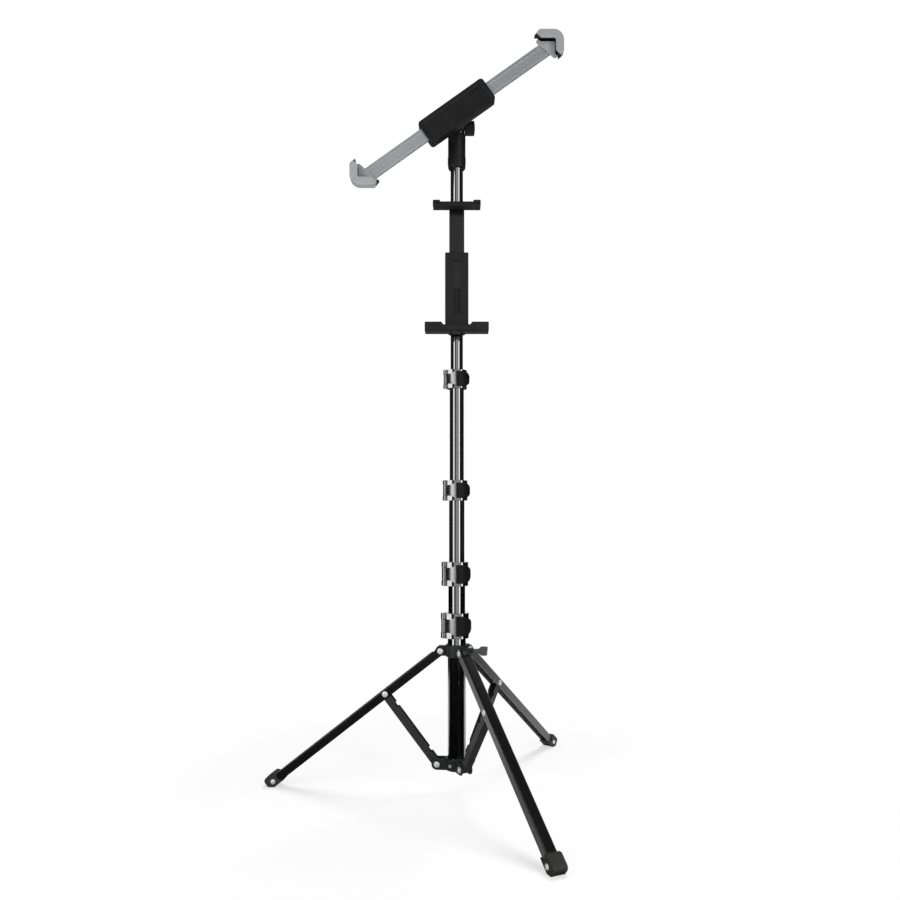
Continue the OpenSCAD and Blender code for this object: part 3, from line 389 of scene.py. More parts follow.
RIVET_R, HEAD_R, HEAD_H = 2.0, 3.7, 1.5
DOME = ((0.0, 1.0), (0.35, 0.97), (0.66, 0.8), (0.88, 0.5), (0.98, 0.2), (1.0, 0.0))


def headed_pin(low, high, shank_r=RIVET_R, head_r=HEAD_R, head_h=HEAD_H, steps=40, stub=False):
    up = [(r * head_r, high + h * head_h) for r, h in DOME]
    down = [(r * head_r, low - h * head_h) for r, h in reversed(DOME)]
    return lathe(up + [(shank_r, high), (shank_r, low)] + ([(0.0, low)] if stub else down), steps)


hub_rivet_shape = bmesh.new()
for name in LEG_AZIMUTHS:
    for side in (90.0, -90.0):
        stub = headed_pin(CLEVIS_IN, CLEVIS_IN + CLEVIS_T, stub=True)
        placed(stub, leg_turn(name) @ moved(HUB_PIVOT_R, 0.0, HUB_PIVOT_Z) @ turned(side, "X"))
        joined(hub_rivet_shape, stub)
hand_over("hub_pins", hub_rivet_shape, bright_nickel, "base", "hub_rivets")

SCREW_R, SCREW_HEX_R, SCREW_CHAMFER, SCREW_AZIMUTH = 1.8, 0.9, 0.3, 234.0
SCREW_FLOOR, SCREW_FACE = 13.4, 14.6
screw_shape = lathe([(0.0, SCREW_FLOOR), (SCREW_HEX_R, SCREW_FLOOR), (SCREW_HEX_R, SCREW_FACE),
                     (SCREW_R - SCREW_CHAMFER, SCREW_FACE), (SCREW_R, SCREW_FACE - SCREW_CHAMFER),
                     (SCREW_R, BASE_R), (0.0, BASE_R)], 24)
placed(screw_shape, turned(SCREW_AZIMUTH, "Z") @ raised(HUB_PIVOT_Z) @ turned(90.0, "Y"))
hand_over("hub_set_screw", screw_shape, bright_nickel, "base", "hub_screw")

# Mast tubes: five drawn steel tubes that slide in one another, lacquered in deep gloss black.
# Each end is deburred, so that a thin bright rim catches the light above every lock.
TUBE_WALL, TUBE_EDGE = 0.45, 0.16
TUBES = {
    "base_tube": ("base", BASE_R, 32.4, 207.5),
    "tube2": ("mast2", 10.2, 79.5, 269.5),
    "tube3": ("mast3", 9.45, 174.5, 368.5),
    "tube4": ("mast4", 8.7, 308.5, 502.5),
    "tube5": ("mast5", 7.55, 341.5, 787.5),
}
gloss_lacquer = finish("gloss_lacquer", (0.0035, 0.0035, 0.004), (0.006, 0.006, 0.0065),
                       (0.08, 0.14), 40.0, 900.0, 0.012,
                       Coat_Weight=1.0, Coat_Roughness=0.03, Coat_IOR=3.2)
for name, (body, radius, low, high) in TUBES.items():
    wall = sleeve(radius - TUBE_WALL, radius, low, high, 96)
    soften(wall, TUBE_EDGE, 2)
    hand_over(name + "_drawn", wall, gloss_lacquer, body, name)

# Tube guides: nylon collars pressed into the lower tube ends, which run inside the next tube.
# They sit out of sight, so the solids stay as they are and only get their moulded finish.
guide_nylon = finish("guide_nylon", (0.018, 0.018, 0.019), (0.026, 0.026, 0.027), (0.45, 0.6),
                     70.0, 1800.0, 0.2)
for name in ("tube2_guide", "tube3_guide", "tube4_guide", "tube5_guide"):
    cad_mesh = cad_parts[name].data
    cad_mesh.materials.clear()
    cad_mesh.materials.append(guide_nylon)

# Lock rings: gloss moulded collars at the tube ends, each with a hinge barrel on the left.
# The barrel is parted in the middle for the lever's knuckle and joined to the ring by flat webs,
# and a slit at the back lets the ring close.
LOCKS = {
    "lock4": ("base", "lever4", BASE_R, 10.2, 188.5, 30.5, 3.9),
    "lock3": ("mast2", "lever3", 10.2, 9.45, 252.0, 29.0, 3.9),
    "lock2": ("mast3", "lever2", 9.45, 8.7, 355.5, 24.5, 3.2),
    "lock1": ("mast4", "lever1", 8.7, 7.55, 491.5, 22.5, 3.2),
}
LOCK_WALL, TUBE_INSET, RING_FIT, TUBE_ROOM, RING_EDGE = 3.7, 11.5, 0.02, 0.25, 0.5
BARREL_OUT, BARREL_AZIMUTH, BARREL_EDGE = 1.1, 192.0, 0.45
KNUCKLE_SHARE, KNUCKLE_ROOM, LOCK_PIN_R, PIN_HEAD = 0.52, 0.4, 1.4, 0.5
SLIT_AZIMUTH, SLIT_HALF, SLIT_PAST = 156.0, 0.6, 1.0
WEB_FACING, WEB_ROOT, WEB_DEPTH = math.radians(25.0), Vector((-0.82, -0.57, 0.0)), 2.0
WEB_REACH, WEB_EDGE = 0.8, 0.3
FRONT_DIP, DIP_HALF, DIP_SKIN = 0.08, math.radians(50.0), 0.6
polished_black = finish("polished_black", (0.004, 0.004, 0.0045), (0.007, 0.007, 0.0075),
                        (0.1, 0.18), 50.0, 700.0, 0.02,
                        Coat_Weight=1.0, Coat_Roughness=0.1, Coat_IOR=3.2)


def carved(shape, *tools):
    made = [linked("blank", as_mesh("blank", part)) for part in (shape, *tools)]
    for tool in made[1:]:
        cut = made[0].modifiers.new("cut", "BOOLEAN")
        cut.operation = "DIFFERENCE"
        cut.solver = "EXACT"
        cut.object = tool
    bpy.context.view_layer.update()
    graph = bpy.context.evaluated_depsgraph_get()
    cut_mesh = bpy.data.meshes.new_from_object(made[0].evaluated_get(graph))
    fresh = bmesh.new()
    fresh.from_mesh(cut_mesh)
    bpy.data.meshes.remove(cut_mesh)
    for blank in made:
        mesh = blank.data
        bpy.data.objects.remove(blank)
        bpy.data.meshes.remove(mesh)
    return fresh


def round_bar(radius, low, high, steps=48, edge=0.0):
    bar = sleeve(0.0, radius, low, high, steps)
    return soften(bar, edge) if edge else bar


def at_barrel(tube_r):
    return turned(BARREL_AZIMUTH, "Z") @ moved(tube_r + LOCK_WALL + BARREL_OUT, 0.0, 0.0)


for lock, (body, lever_body, tube_r, inner_r, low, height, barrel_r) in LOCKS.items():
    high, outer_r, top_bore = low + height, tube_r + LOCK_WALL, inner_r + TUBE_ROOM
    knuckle_h = height * KNUCKLE_SHARE
    knuckle_low, knuckle_high = low + (height - knuckle_h) / 2, low + (height + knuckle_h) / 2
    ring = lathe([(tube_r + RING_FIT, low), (outer_r, low), (outer_r, high), (top_bore, high),
                  (top_bore, high - TUBE_INSET), (tube_r + RING_FIT, high - TUBE_INSET)], 80)
    soften(ring, RING_EDGE)
    for vert in ring.verts:
        swing = abs(math.atan2(vert.co.x, -vert.co.y))
        if swing < DIP_HALF and math.hypot(vert.co.x, vert.co.y) > outer_r - DIP_SKIN:
            shrink = 1.0 - FRONT_DIP * math.cos(swing / DIP_HALF * math.pi / 2) ** 2
            vert.co.x *= shrink
            vert.co.y *= shrink
    pocket = round_bar(barrel_r + KNUCKLE_ROOM, knuckle_low, knuckle_high)
    slit = block((0.0, -SLIT_HALF, low - SLIT_PAST),
                 (tube_r + 2 * LOCK_WALL, SLIT_HALF, high + SLIT_PAST))
    ring = carved(ring, placed(pocket, at_barrel(tube_r)), placed(slit, turned(SLIT_AZIMUTH, "Z")))
    hinge = at_barrel(tube_r).to_translation()
    facing = Vector((-math.sin(WEB_FACING), -math.cos(WEB_FACING), 0.0))
    along = Vector((-math.cos(WEB_FACING), math.sin(WEB_FACING), 0.0))
    tangent, root = facing * outer_r, (tube_r + WEB_DEPTH) * WEB_ROOT
    edge = tangent + along * ((tangent.x - hinge.x - WEB_REACH * barrel_r) / math.cos(WEB_FACING))
    for start, end in ((low, knuckle_low), (knuckle_high, high)):
        joined(ring, placed(round_bar(barrel_r, start, end, 40, BARREL_EDGE), at_barrel(tube_r)))
        flange = slab([(point.x, point.y) for point in (tangent, edge, hinge, root)], end - start)
        joined(ring, placed(soften(flange, WEB_EDGE, 2), raised(start)))
    hand_over(lock + "_moulded_ring", ring, polished_black, body, lock + "_ring")
    pin = headed_pin(low, high, LOCK_PIN_R, LOCK_PIN_R + PIN_HEAD, PIN_HEAD, 24)
    hand_over(lock + "_hinge_pin", placed(pin, at_barrel(tube_r)), bright_nickel, body,
              lock + "_pin")

# Lock levers: thumb paddles that wrap round the front of the ring, moulded with a fine matt grain.
# A satin neck with a polished knuckle swings on the hinge pin, and flares up into the round paddle.
fine_matt = finish("fine_matt", (0.0055, 0.0055, 0.006), (0.008, 0.008, 0.0085), (0.5, 0.64),
                   80.0, 2600.0, 0.3, Specular_IOR_Level=0.2)
satin_black = finish("satin_black", (0.004, 0.004, 0.0045), (0.007, 0.007, 0.0075),
                     (0.3, 0.4), 50.0, 700.0, 0.02,
                     Coat_Weight=1.0, Coat_Roughness=0.28, Coat_IOR=3.2)
LEVER_ROOM, LEVER_T, NECK_T, PADDLE_CROWN, LEVER_EDGE = 0.4, 2.4, 1.1, 0.35, 0.5
RAMP_START, RAMP_BEND = math.radians(114.0), 0.75
BEND_STEP, BENDS = math.radians(2.8), range(2, 60)
NECK_SHARE, PADDLE_SHARE, PADDLE_ROUND, NECK_ROUND, SHOULDER_ROUND = 0.22, 0.38, 0.72, 2.4, 1.6
HINGE_SIDE, NECK_END, PADDLE_START, MATT_START = -0.972, -0.6, -0.08, -0.04
KNUCKLE_GAP, KNUCKLE_EDGE = 0.5, 0.3


def wrap_lever(tube_r, low, height):
    inner = tube_r + LOCK_WALL + LEVER_ROOM
    outer = inner + LEVER_T
    neck, paddle = NECK_SHARE * height, PADDLE_SHARE * height
    flat = slab([(HINGE_SIDE * outer, -neck), (NECK_END * outer, -neck),
                 (PADDLE_START * outer, -paddle), (outer, -paddle), (outer, paddle),
                 (PADDLE_START * outer, paddle), (NECK_END * outer, neck),
                 (HINGE_SIDE * outer, neck)], 1.0,
                [(paddle * PADDLE_ROUND, (3, 4)), (NECK_ROUND, (1, 6)), (SHOULDER_ROUND, (2, 5))], 8)
    for step in BENDS:
        edge = outer * math.cos(step * BEND_STEP)
        bmesh.ops.bisect_plane(flat, geom=flat.verts[:] + flat.edges[:] + flat.faces[:],
                               plane_co=(edge, 0.0, 0.0), plane_no=(1.0, 0.0, 0.0))
    for face in flat.faces:
        face.material_index = 1 if face.calc_center_median().x < MATT_START * outer else 0
    for vert in flat.verts:
        x, y, lift = vert.co
        angle = math.acos(min(max(x / outer, -1.0), 1.0))
        past = RAMP_BEND * max(RAMP_START - angle, 0.0)
        ramp = (inner + NECK_T) / math.cos(min(past, 1.0)) - inner
        thick = min(ramp, LEVER_T + PADDLE_CROWN * (1.0 - (y / paddle) ** 2))
        radius = inner + lift * thick
        vert.co = (radius * math.cos(angle), -radius * math.sin(angle), low + height / 2 + y)
    return soften(flat, LEVER_EDGE, above=55.0)


for lock, (body, lever_body, tube_r, inner_r, low, height, barrel_r) in LOCKS.items():
    knuckle_h = height * KNUCKLE_SHARE - KNUCKLE_GAP
    lever = wrap_lever(tube_r, low, height)
    knuckle = round_bar(barrel_r - KNUCKLE_ROOM, low + (height - knuckle_h) / 2,
                        low + (height + knuckle_h) / 2, 40, KNUCKLE_EDGE)
    for face in knuckle.faces:
        face.material_index = 2
    joined(lever, placed(knuckle, at_barrel(tube_r)))
    hand_over(lock + "_paddle", lever, (fine_matt, satin_black, polished_black), lever_body,
              lock + "_lever", crease=40.0)

# Leg collar: a moulded nylon sleeve that slides on the base tube, with a lug for each leg.
# A threaded boss on its right takes the wing knob that locks the legs open.
COLLAR_R, COLLAR_LOW, COLLAR_HIGH, COLLAR_EDGE, SLIDE_FIT = 13.4, 165.5, 180.5, 1.0, 0.05
PIVOT_R, PIVOT_Z, LUG_R, LUG_W, LUG_ROOT, LUG_EDGE = 19.7, 172.5, 6.2, 6.8, 11.5, 0.6
BOSS_R, BOSS_BORE, BOSS_FLARE, BOSS_EDGE, KNOB_AZIMUTH = 3.4, 2.1, 1.2, 0.4, -6.0
BOSS_START, BOSS_NECK, BOSS_END = 11.6, 15.5, 20.0
collar_shape = sleeve(BASE_R + SLIDE_FIT, COLLAR_R, COLLAR_LOW, COLLAR_HIGH, 72)
soften(collar_shape, COLLAR_EDGE)
for name in LEG_AZIMUTHS:
    lug = plate(LUG_ROOT, PIVOT_R + LUG_R, 2 * LUG_R, LUG_W, LUG_R - ROUND_SHY, 10, (1, 2))
    soften(lug, LUG_EDGE)
    joined(collar_shape, placed(lug, leg_turn(name) @ moved(0.0, LUG_W / 2, PIVOT_Z) @ UPRIGHT))
boss = lathe([(BOSS_BORE, BOSS_START), (BOSS_R + BOSS_FLARE, BOSS_START), (BOSS_R, BOSS_NECK),
              (BOSS_R, BOSS_END), (BOSS_BORE, BOSS_END)], 40)
soften(boss, BOSS_EDGE)
knob_frame = turned(KNOB_AZIMUTH, "Z") @ raised(PIVOT_Z) @ turned(90.0, "Y")
joined(collar_shape, placed(boss, knob_frame))
hand_over("collar_moulding", collar_shape, satin_nylon, "collar", "leg_collar")

# Wing knob: a flat moulded wing on a tapered neck, with a steel screw through the collar's boss.
# Its edges are well rounded.
wing_grey = finish("wing_grey", (0.060, 0.060, 0.058), (0.082, 0.082, 0.078), (0.5, 0.65),
                   90.0, 2200.0, 0.3)
WING_T, WING_START, WING_EDGE, TIP_ROOM, KNOB_SCREW_R = 3.4, 28.0, 0.8, 0.4, 2.0
NECK_R, NECK_TIP_R, NECK_LOW, NECK_TAPER, NECK_HIGH = 2.6, 2.2, 20.3, 27.4, 28.6
wing = slab([(-2.0, -4.0), (2.0, -4.0), (3.0, -0.6), (5.5, 1.6), (5.5, 9.0), (-5.5, 10.0), (-5.5, 1.6),
             (-3.0, -0.6)], WING_T, [(1.6, (4, 5)), (1.0, (3, 6)), (1.8, (2, 7))])
soften(wing, WING_EDGE)
placed(wing, moved(0.0, WING_T / 2, WING_START) @ UPRIGHT)
neck = lathe([(0.0, BASE_R + TIP_ROOM), (KNOB_SCREW_R, BASE_R + TIP_ROOM), (KNOB_SCREW_R, NECK_LOW),
              (NECK_R, NECK_LOW), (NECK_R, NECK_TAPER), (NECK_TIP_R, NECK_HIGH), (0.0, NECK_HIGH)], 40)
placed(joined(wing, neck), knob_frame)
hand_over("wing_knob_moulding", wing, wing_grey, "wing", "wing_knob")

# Legs: channels bent from 1 mm steel sheet and powder coated in semi-gloss black.
# The side flanges run past the web at the top, where they straddle the collar's lug, and a painted
# sheen makes the coat's colour greyer where it is seen at a slant.
LEG_HALF_W, LEG_HALF_D, SHEET_T, LEG_BEND = 6.2, 5.3, 1.0, 1.6
LEG_SLOPE, LEG_TO_BRACE, LEG_TO_FOOT, LEG_END, WEB_START = 51.6, 87.0, 266.5, 271.5, 10.0
LEG_CUT_X, LEG_CUT_Z = 2.1, -3.0
SHEEN_PAINT_START, SHEEN_PAINT_FULL, PAINTED_SHEEN_GREY = 0.25, 0.62, (0.11, 0.11, 0.11, 1.0)
powder_coat_painted_sheen = finish("powder_coat_painted_sheen", (0.004, 0.004, 0.0045), (0.006, 0.006, 0.0065), (0.22, 0.3),
                     35.0, 1600.0, 0.1, IOR=1.48, Sheen_Weight=0.12, Sheen_Roughness=0.4)
coat_nodes, coat_links = powder_coat_painted_sheen.node_tree.nodes, powder_coat_painted_sheen.node_tree.links
# Painted sheen: the base colour is mixed towards grey where the surface is seen at a slant.
slant = coat_nodes.new("ShaderNodeLayerWeight")
painted_sheen_mask = ramped(powder_coat_painted_sheen.node_tree, slant.outputs["Facing"], SHEEN_PAINT_START, SHEEN_PAINT_FULL, kind="LINEAR")
painted_sheen_mix = coat_nodes.new("ShaderNodeMix")
painted_sheen_mix.data_type = "RGBA"
painted_sheen_mix.inputs[7].default_value = PAINTED_SHEEN_GREY
coat_base = coat_nodes["Principled BSDF"].inputs["Base Color"]
coat_links.new(painted_sheen_mask, painted_sheen_mix.inputs[0])
coat_links.new(coat_base.links[0].from_socket, painted_sheen_mix.inputs[6])
coat_links.new(painted_sheen_mix.outputs[2], coat_base)


def channel(outline, rounds, half, web, bend):
    shape = bmesh.new()
    near = [shape.verts.new((x, -half, z)) for x, z in outline]
    far = [shape.verts.new((x, half, z)) for x, z in outline]
    shape.faces.new(near)
    shape.faces.new(list(reversed(far)))
    first, last = web
    shape.faces.new((near[last], near[first], far[first], far[last]))
    bends = [shape.edges.get((side[first], side[last])) for side in (near, far)]
    for radius, picks in rounds:
        bevelled(shape, [side[i] for side in (near, far) for i in picks], radius, 6, "VERTICES")
    bevelled(shape, bends, bend, 4, "EDGES")
    bmesh.ops.recalc_face_normals(shape, faces=shape.faces)
    bmesh.ops.solidify(shape, geom=shape.faces[:], thickness=SHEET_T)
    return shape


def leg_frame(name):
    return leg_turn(name) @ moved(PIVOT_R, 0.0, PIVOT_Z) @ turned(90.0 - LEG_SLOPE, "Y")


leg_outline = [(-LEG_HALF_D, -LEG_HALF_D), (LEG_TO_FOOT + LEG_CUT_X, -LEG_HALF_D),
               (LEG_END, LEG_CUT_Z), (LEG_END, LEG_HALF_D), (WEB_START, LEG_HALF_D),
               (-LEG_HALF_D, LEG_HALF_D)]
for name in LEG_AZIMUTHS:
    leg = channel(leg_outline, [(LEG_HALF_D - ROUND_SHY, (0, 5))], LEG_HALF_W, (3, 4), LEG_BEND)
    hand_over("leg_" + name + "_channel", placed(leg, leg_frame(name)), powder_coat_painted_sheen,
              name + "_leg", "leg_" + name)

# Feet: soft moulded shoes pushed over the leg ends and cut to stand flat on the floor.
# They are dark grey with rounded shoulders, and a rivet goes across each one.
FOOT_W, FOOT_UP, FOOT_TOE, FOOT_HIGH, FOOT_LOW, FOOT_ROUND = 16.6, 12.5, 9.6, 8.7, 6.6, 4.5
FOOT_BROW, FOOT_SLANT, FOOT_EDGE, BROW_ROUND, HEEL_ROUND = 7.0, 10.4, 1.2, 1.2, 0.9
SHOE_ROOM, SHOE_SIDE_ROOM, SHOE_MOUTH = 0.1, 0.15, -17.0
shoe_half = LEG_HALF_D + SHOE_ROOM
shoe_cut_x, shoe_cut_z = LEG_CUT_X - SHOE_ROOM, LEG_CUT_Z + SHOE_ROOM
shoe_end = LEG_END - LEG_TO_FOOT + SHOE_ROOM
foot_grey = finish("foot_grey", (0.024, 0.024, 0.023), (0.034, 0.034, 0.032), (0.5, 0.66),
                   60.0, 1500.0, 0.35, Specular_IOR_Level=0.35)
for name in LEG_AZIMUTHS:
    foot = slab([(-FOOT_UP, -FOOT_LOW), (FOOT_TOE, -FOOT_LOW), (FOOT_TOE, FOOT_HIGH),
                 (-FOOT_BROW, FOOT_HIGH), (-FOOT_SLANT, LEG_HALF_D), (-FOOT_SLANT, 0.0),
                 (-FOOT_UP, 0.0)], FOOT_W,
                [(FOOT_ROUND, (1, 2)), (BROW_ROUND, (3,)), (HEEL_ROUND, (0,))], 8)
    soften(foot, FOOT_EDGE, 4)
    placed(foot, raised(-FOOT_W / 2))
    mouth = placed(round_bar(LEG_HALF_D, -FOOT_W, FOOT_W, 64), moved(-FOOT_UP, 0.0, 0.0))
    pocket = slab([(SHOE_MOUTH, -shoe_half), (shoe_cut_x, -shoe_half), (shoe_end, shoe_cut_z),
                   (shoe_end, shoe_half), (SHOE_MOUTH, shoe_half)], 2 * (LEG_HALF_W + SHOE_SIDE_ROOM))
    foot = carved(foot, mouth, placed(pocket, raised(-LEG_HALF_W - SHOE_SIDE_ROOM)))
    placed(foot, leg_frame(name) @ moved(LEG_TO_FOOT, 0.0, 0.0) @ UPRIGHT)
    bmesh.ops.bisect_plane(foot, geom=foot.verts[:] + foot.edges[:] + foot.faces[:], dist=WELD,
                           plane_co=(0.0, 0.0, 0.0), plane_no=(0.0, 0.0, 1.0), clear_inner=True)
    bmesh.ops.holes_fill(foot, edges=[e for e in foot.edges if e.is_boundary], sides=0)
    hand_over("foot_" + name + "_shoe", foot, foot_grey, name + "_leg", "foot_" + name)

# Leg rivets: nickel plated rivets with domed heads, one at the collar, one at the brace and one
# through the foot of every leg.
FOOT_HEAD_R = 3.1
for name in LEG_AZIMUTHS:
    rivets = bmesh.new()
    for along, half, head_r in ((0.0, LEG_HALF_W, HEAD_R), (LEG_TO_BRACE, LEG_HALF_W, HEAD_R),
                                (LEG_TO_FOOT, FOOT_W / 2, FOOT_HEAD_R)):
        pin = headed_pin(-half, half, head_r=head_r)
        joined(rivets, placed(pin, leg_frame(name) @ moved(along, 0.0, 0.0) @ UPRIGHT))
    hand_over("leg_" + name + "_pins", rivets, bright_nickel, name + "_leg",
              "leg_" + name + "_rivets")

# Braces: shorter channels from the legs down to the hub, bent from the same sheet and coated grey.
# Two notches in the free edges clear the rivets when the stand is folded.
BRACE_HALF, BRACE_EDGE, BRACE_BACK, BRACE_ROUND, BRACE_BEND = 4.8, 4.0, 5.4, 3.4, 1.5
NOTCH_R, NOTCH_LOW, NOTCH_FLOOR, NOTCH_ROUND = 3.0, 19.0, 1.7, 2.1
BRACE_REACH = PIVOT_R + LEG_TO_BRACE * math.sin(math.radians(LEG_SLOPE))
BRACE_TOP = PIVOT_Z - LEG_TO_BRACE * math.cos(math.radians(LEG_SLOPE))
BRACE_LEN = math.hypot(BRACE_REACH - HUB_PIVOT_R, BRACE_TOP - HUB_PIVOT_Z)
BRACE_LEAN = math.degrees(math.atan2(BRACE_REACH - HUB_PIVOT_R, BRACE_TOP - HUB_PIVOT_Z))
grey_coat = finish("grey_coat", (0.024, 0.024, 0.024), (0.036, 0.036, 0.0355), (0.34, 0.46),
                   45.0, 1600.0, 0.2)
brace_outline = [(0.0, -BRACE_BACK), (BRACE_LEN, -BRACE_BACK), (BRACE_LEN + BRACE_EDGE, -BRACE_EDGE),
                 (BRACE_LEN + BRACE_EDGE, BRACE_EDGE)]
for notch_x in (LEG_TO_BRACE, NOTCH_LOW):
    brace_outline += [(notch_x + NOTCH_R, BRACE_EDGE), (notch_x + NOTCH_R, NOTCH_FLOOR),
                      (notch_x - NOTCH_R, NOTCH_FLOOR), (notch_x - NOTCH_R, BRACE_EDGE)]
brace_outline += [(-BRACE_EDGE, BRACE_EDGE), (-BRACE_EDGE, -BRACE_EDGE)]
for name in LEG_AZIMUTHS:
    brace = channel(brace_outline, [(BRACE_ROUND, (2, 3, 12, 13)), (NOTCH_ROUND, (5, 6, 9, 10))],
                    BRACE_HALF, (0, 1), BRACE_BEND)
    placed(brace, leg_turn(name) @ moved(BRACE_REACH, 0.0, BRACE_TOP)
           @ turned(90.0 + BRACE_LEAN, "Y") @ turned(180.0, "X"))
    hand_over("brace_" + name + "_channel", brace, grey_coat, name + "_brace", "brace_" + name)

# Slim holder, fixed half: a moulded clamp on the top tube with a tall back that guides a bar.
# The jaw in front is a shallow trough whose lip has a wide cut-out, with a ribbed rubber pad.
black_moulding = finish("black_moulding", (0.0085, 0.0085, 0.009), (0.013, 0.013, 0.0135), (0.36, 0.5),
                        70.0, 2200.0, 0.22, Specular_IOR_Level=0.3)
soft_rubber = finish("soft_rubber", (0.010, 0.010, 0.010), (0.016, 0.016, 0.016), (0.6, 0.78),
                     90.0, 1800.0, 0.4)
PHONE_Z, TOP_TUBE_R, CLAMP_R, LIP_H = 555.5, 7.55, 10.6, 11.0
BACK_Y, BACK_FACE, LIP_IN, LIP_OUT = 13.0, 18.4, 28.9, 31.7
JAW_W, JAW_T, BACK_W, BACK_H = 75.8, 2.8, 28.0, 97.0
CLAMP_EDGE, BRIDGE_HALF, BRIDGE_BITE, BRIDGE_GAP, BRIDGE_EDGE = 0.9, 7.5, 0.5, 0.6, 0.5
CHANNEL_HALF, CHANNEL_FRONT, CHANNEL_BACK, CHANNEL_LOW, CHANNEL_PAST = 9.25, 17.15, 14.25, 17.0, 5.0
WINDOW_HALF, WINDOW_FRONT, WINDOW_BACK, WINDOW_LOW, WINDOW_TOP = 4.5, 20.0, 16.0, 23.0, 10.0
CLAMP_BOSS_START, CLAMP_BOSS_END, CLAMP_FROM, CLAMP_TO = 8.2, 12.1, 2.6, 16.6
clamp_low, clamp_high = PHONE_Z + CLAMP_FROM, PHONE_Z + CLAMP_TO
clamp_bore = TOP_TUBE_R + SLIDE_FIT
clamp_knob_frame = raised((clamp_low + clamp_high) / 2) @ turned(-90.0, "X")
clamp = soften(sleeve(clamp_bore, CLAMP_R, clamp_low, clamp_high), CLAMP_EDGE)
bridge = soften(block((-BRIDGE_HALF, -BACK_Y - BRIDGE_BITE, clamp_low),
                      (BRIDGE_HALF, -TOP_TUBE_R - BRIDGE_GAP, clamp_high)), BRIDGE_EDGE)
back = soften(block((-BACK_W / 2, -BACK_FACE, PHONE_Z + JAW_T),
                    (BACK_W / 2, -BACK_Y, PHONE_Z + BACK_H)), CLAMP_EDGE)
back = carved(back, block((-CHANNEL_HALF, -CHANNEL_FRONT, PHONE_Z + CHANNEL_LOW),
                          (CHANNEL_HALF, -CHANNEL_BACK, PHONE_Z + BACK_H + CHANNEL_PAST)),
              block((-WINDOW_HALF, -WINDOW_FRONT, PHONE_Z + WINDOW_LOW),
                    (WINDOW_HALF, -WINDOW_BACK, PHONE_Z + BACK_H - WINDOW_TOP)))
knob_boss = sleeve(BOSS_BORE, BOSS_R, CLAMP_BOSS_START, CLAMP_BOSS_END, 40)
placed(soften(knob_boss, BOSS_EDGE), clamp_knob_frame)
hand_over("clamp_and_back", joined(clamp, bridge, back, knob_boss), black_moulding, "phone_mount",
          "phone_bracket")

HEEL_CURVE, LIP_CURVE, TROUGH_CURVE, JAW_EDGE, SEAT_PAST, SEAT_HIGH = 2.2, 1.0, 0.9, 0.7, 3.0, 40.0
CUT_HALF, CUT_DEPTH, CUT_TOP_HALF, CUT_PAST, CUT_CURVE = 15.0, 4.8, 19.8, 2.0, 3.0
CUT_START, CUT_THROUGH = 1.5, 6.0


def along_x(start, z):
    return Matrix(((0, 0, 1, start), (1, 0, 0, 0), (0, 1, 0, z), (0, 0, 0, 1)))


jaw = slab([(-LIP_OUT, 0.0), (-BACK_Y, 0.0), (-BACK_Y, LIP_H), (-BACK_FACE, LIP_H),
            (-BACK_FACE, JAW_T), (-LIP_IN, JAW_T), (-LIP_IN, LIP_H), (-LIP_OUT, LIP_H)], JAW_W,
           [(HEEL_CURVE, (0,)), (LIP_CURVE, (6, 7)), (TROUGH_CURVE, (4, 5))], 5)
placed(soften(jaw, JAW_EDGE), along_x(-JAW_W / 2, PHONE_Z))
gap = slab([(-CUT_HALF, -CUT_DEPTH), (CUT_HALF, -CUT_DEPTH), (CUT_TOP_HALF, CUT_PAST),
            (-CUT_TOP_HALF, CUT_PAST)], CUT_THROUGH, [(CUT_CURVE, (0, 1))])
placed(gap, moved(0.0, -LIP_IN + CUT_START, PHONE_Z + LIP_H) @ UPRIGHT)
seat = block((-BACK_W / 2, -BACK_FACE, PHONE_Z + JAW_T),
             (BACK_W / 2, -BACK_Y + SEAT_PAST, PHONE_Z + SEAT_HIGH))
jaw = carved(jaw, gap, seat)
hand_over("lower_jaw_trough", jaw, black_moulding, "phone_mount", "phone_jaw_lower")

PAD_INSET, PAD_GAP, PAD_T, PAD_EDGE = 2.9, 0.1, 0.7, 0.25
RIB_W, RIB_H, RIB_INSET, RIB_SINK, RIB_EDGE = 1.4, 0.3, 0.6, 0.2, 0.15


def ribbed_pad(width, low_z, high_z, ribs_up, count):
    half, front, rear = width / 2 - PAD_INSET, -LIP_IN + PAD_GAP, -BACK_FACE - PAD_GAP
    pad = soften(block((-half, front, low_z), (half, rear, high_z)), PAD_EDGE, 2)
    step = 2 * half / (count + 1)
    rib_low, rib_high = (high_z - RIB_SINK, high_z + RIB_H) if ribs_up else (
        low_z - RIB_H - RIB_SINK, low_z + RIB_SINK)
    for index in range(count):
        middle = step * (index + 1) - half
        ridge = block((middle - RIB_W / 2, front + RIB_INSET, rib_low),
                      (middle + RIB_W / 2, rear - RIB_INSET, rib_high))
        joined(pad, soften(ridge, RIB_EDGE, 2))
    return pad


pad_shape = ribbed_pad(JAW_W, PHONE_Z + JAW_T, PHONE_Z + JAW_T + PAD_T, True, 20)
hand_over("lower_jaw_pad", pad_shape, soft_rubber, "phone_mount", "phone_pad_lower")

# Clamp knob: a small fluted thumb knob behind the tube, moulded in black with a domed cap.
# Its steel screw runs through the clamp's boss and grips the top tube.
FLUTED_FROM, SCREW_ROOT = 0.55, 12.6


def fluted_knob(radius, low, high, flutes, bite, edge):
    knob = round_bar(radius, low, high, 96)
    soften(knob, edge, 4)
    for vert in knob.verts:
        if math.hypot(vert.co.x, vert.co.y) > radius * FLUTED_FROM:
            wave = (0.5 + 0.5 * math.cos(flutes * math.atan2(vert.co.y, vert.co.x))) ** 2
            shrink = 1.0 - bite / radius * wave
            vert.co.x *= shrink
            vert.co.y *= shrink
    return knob


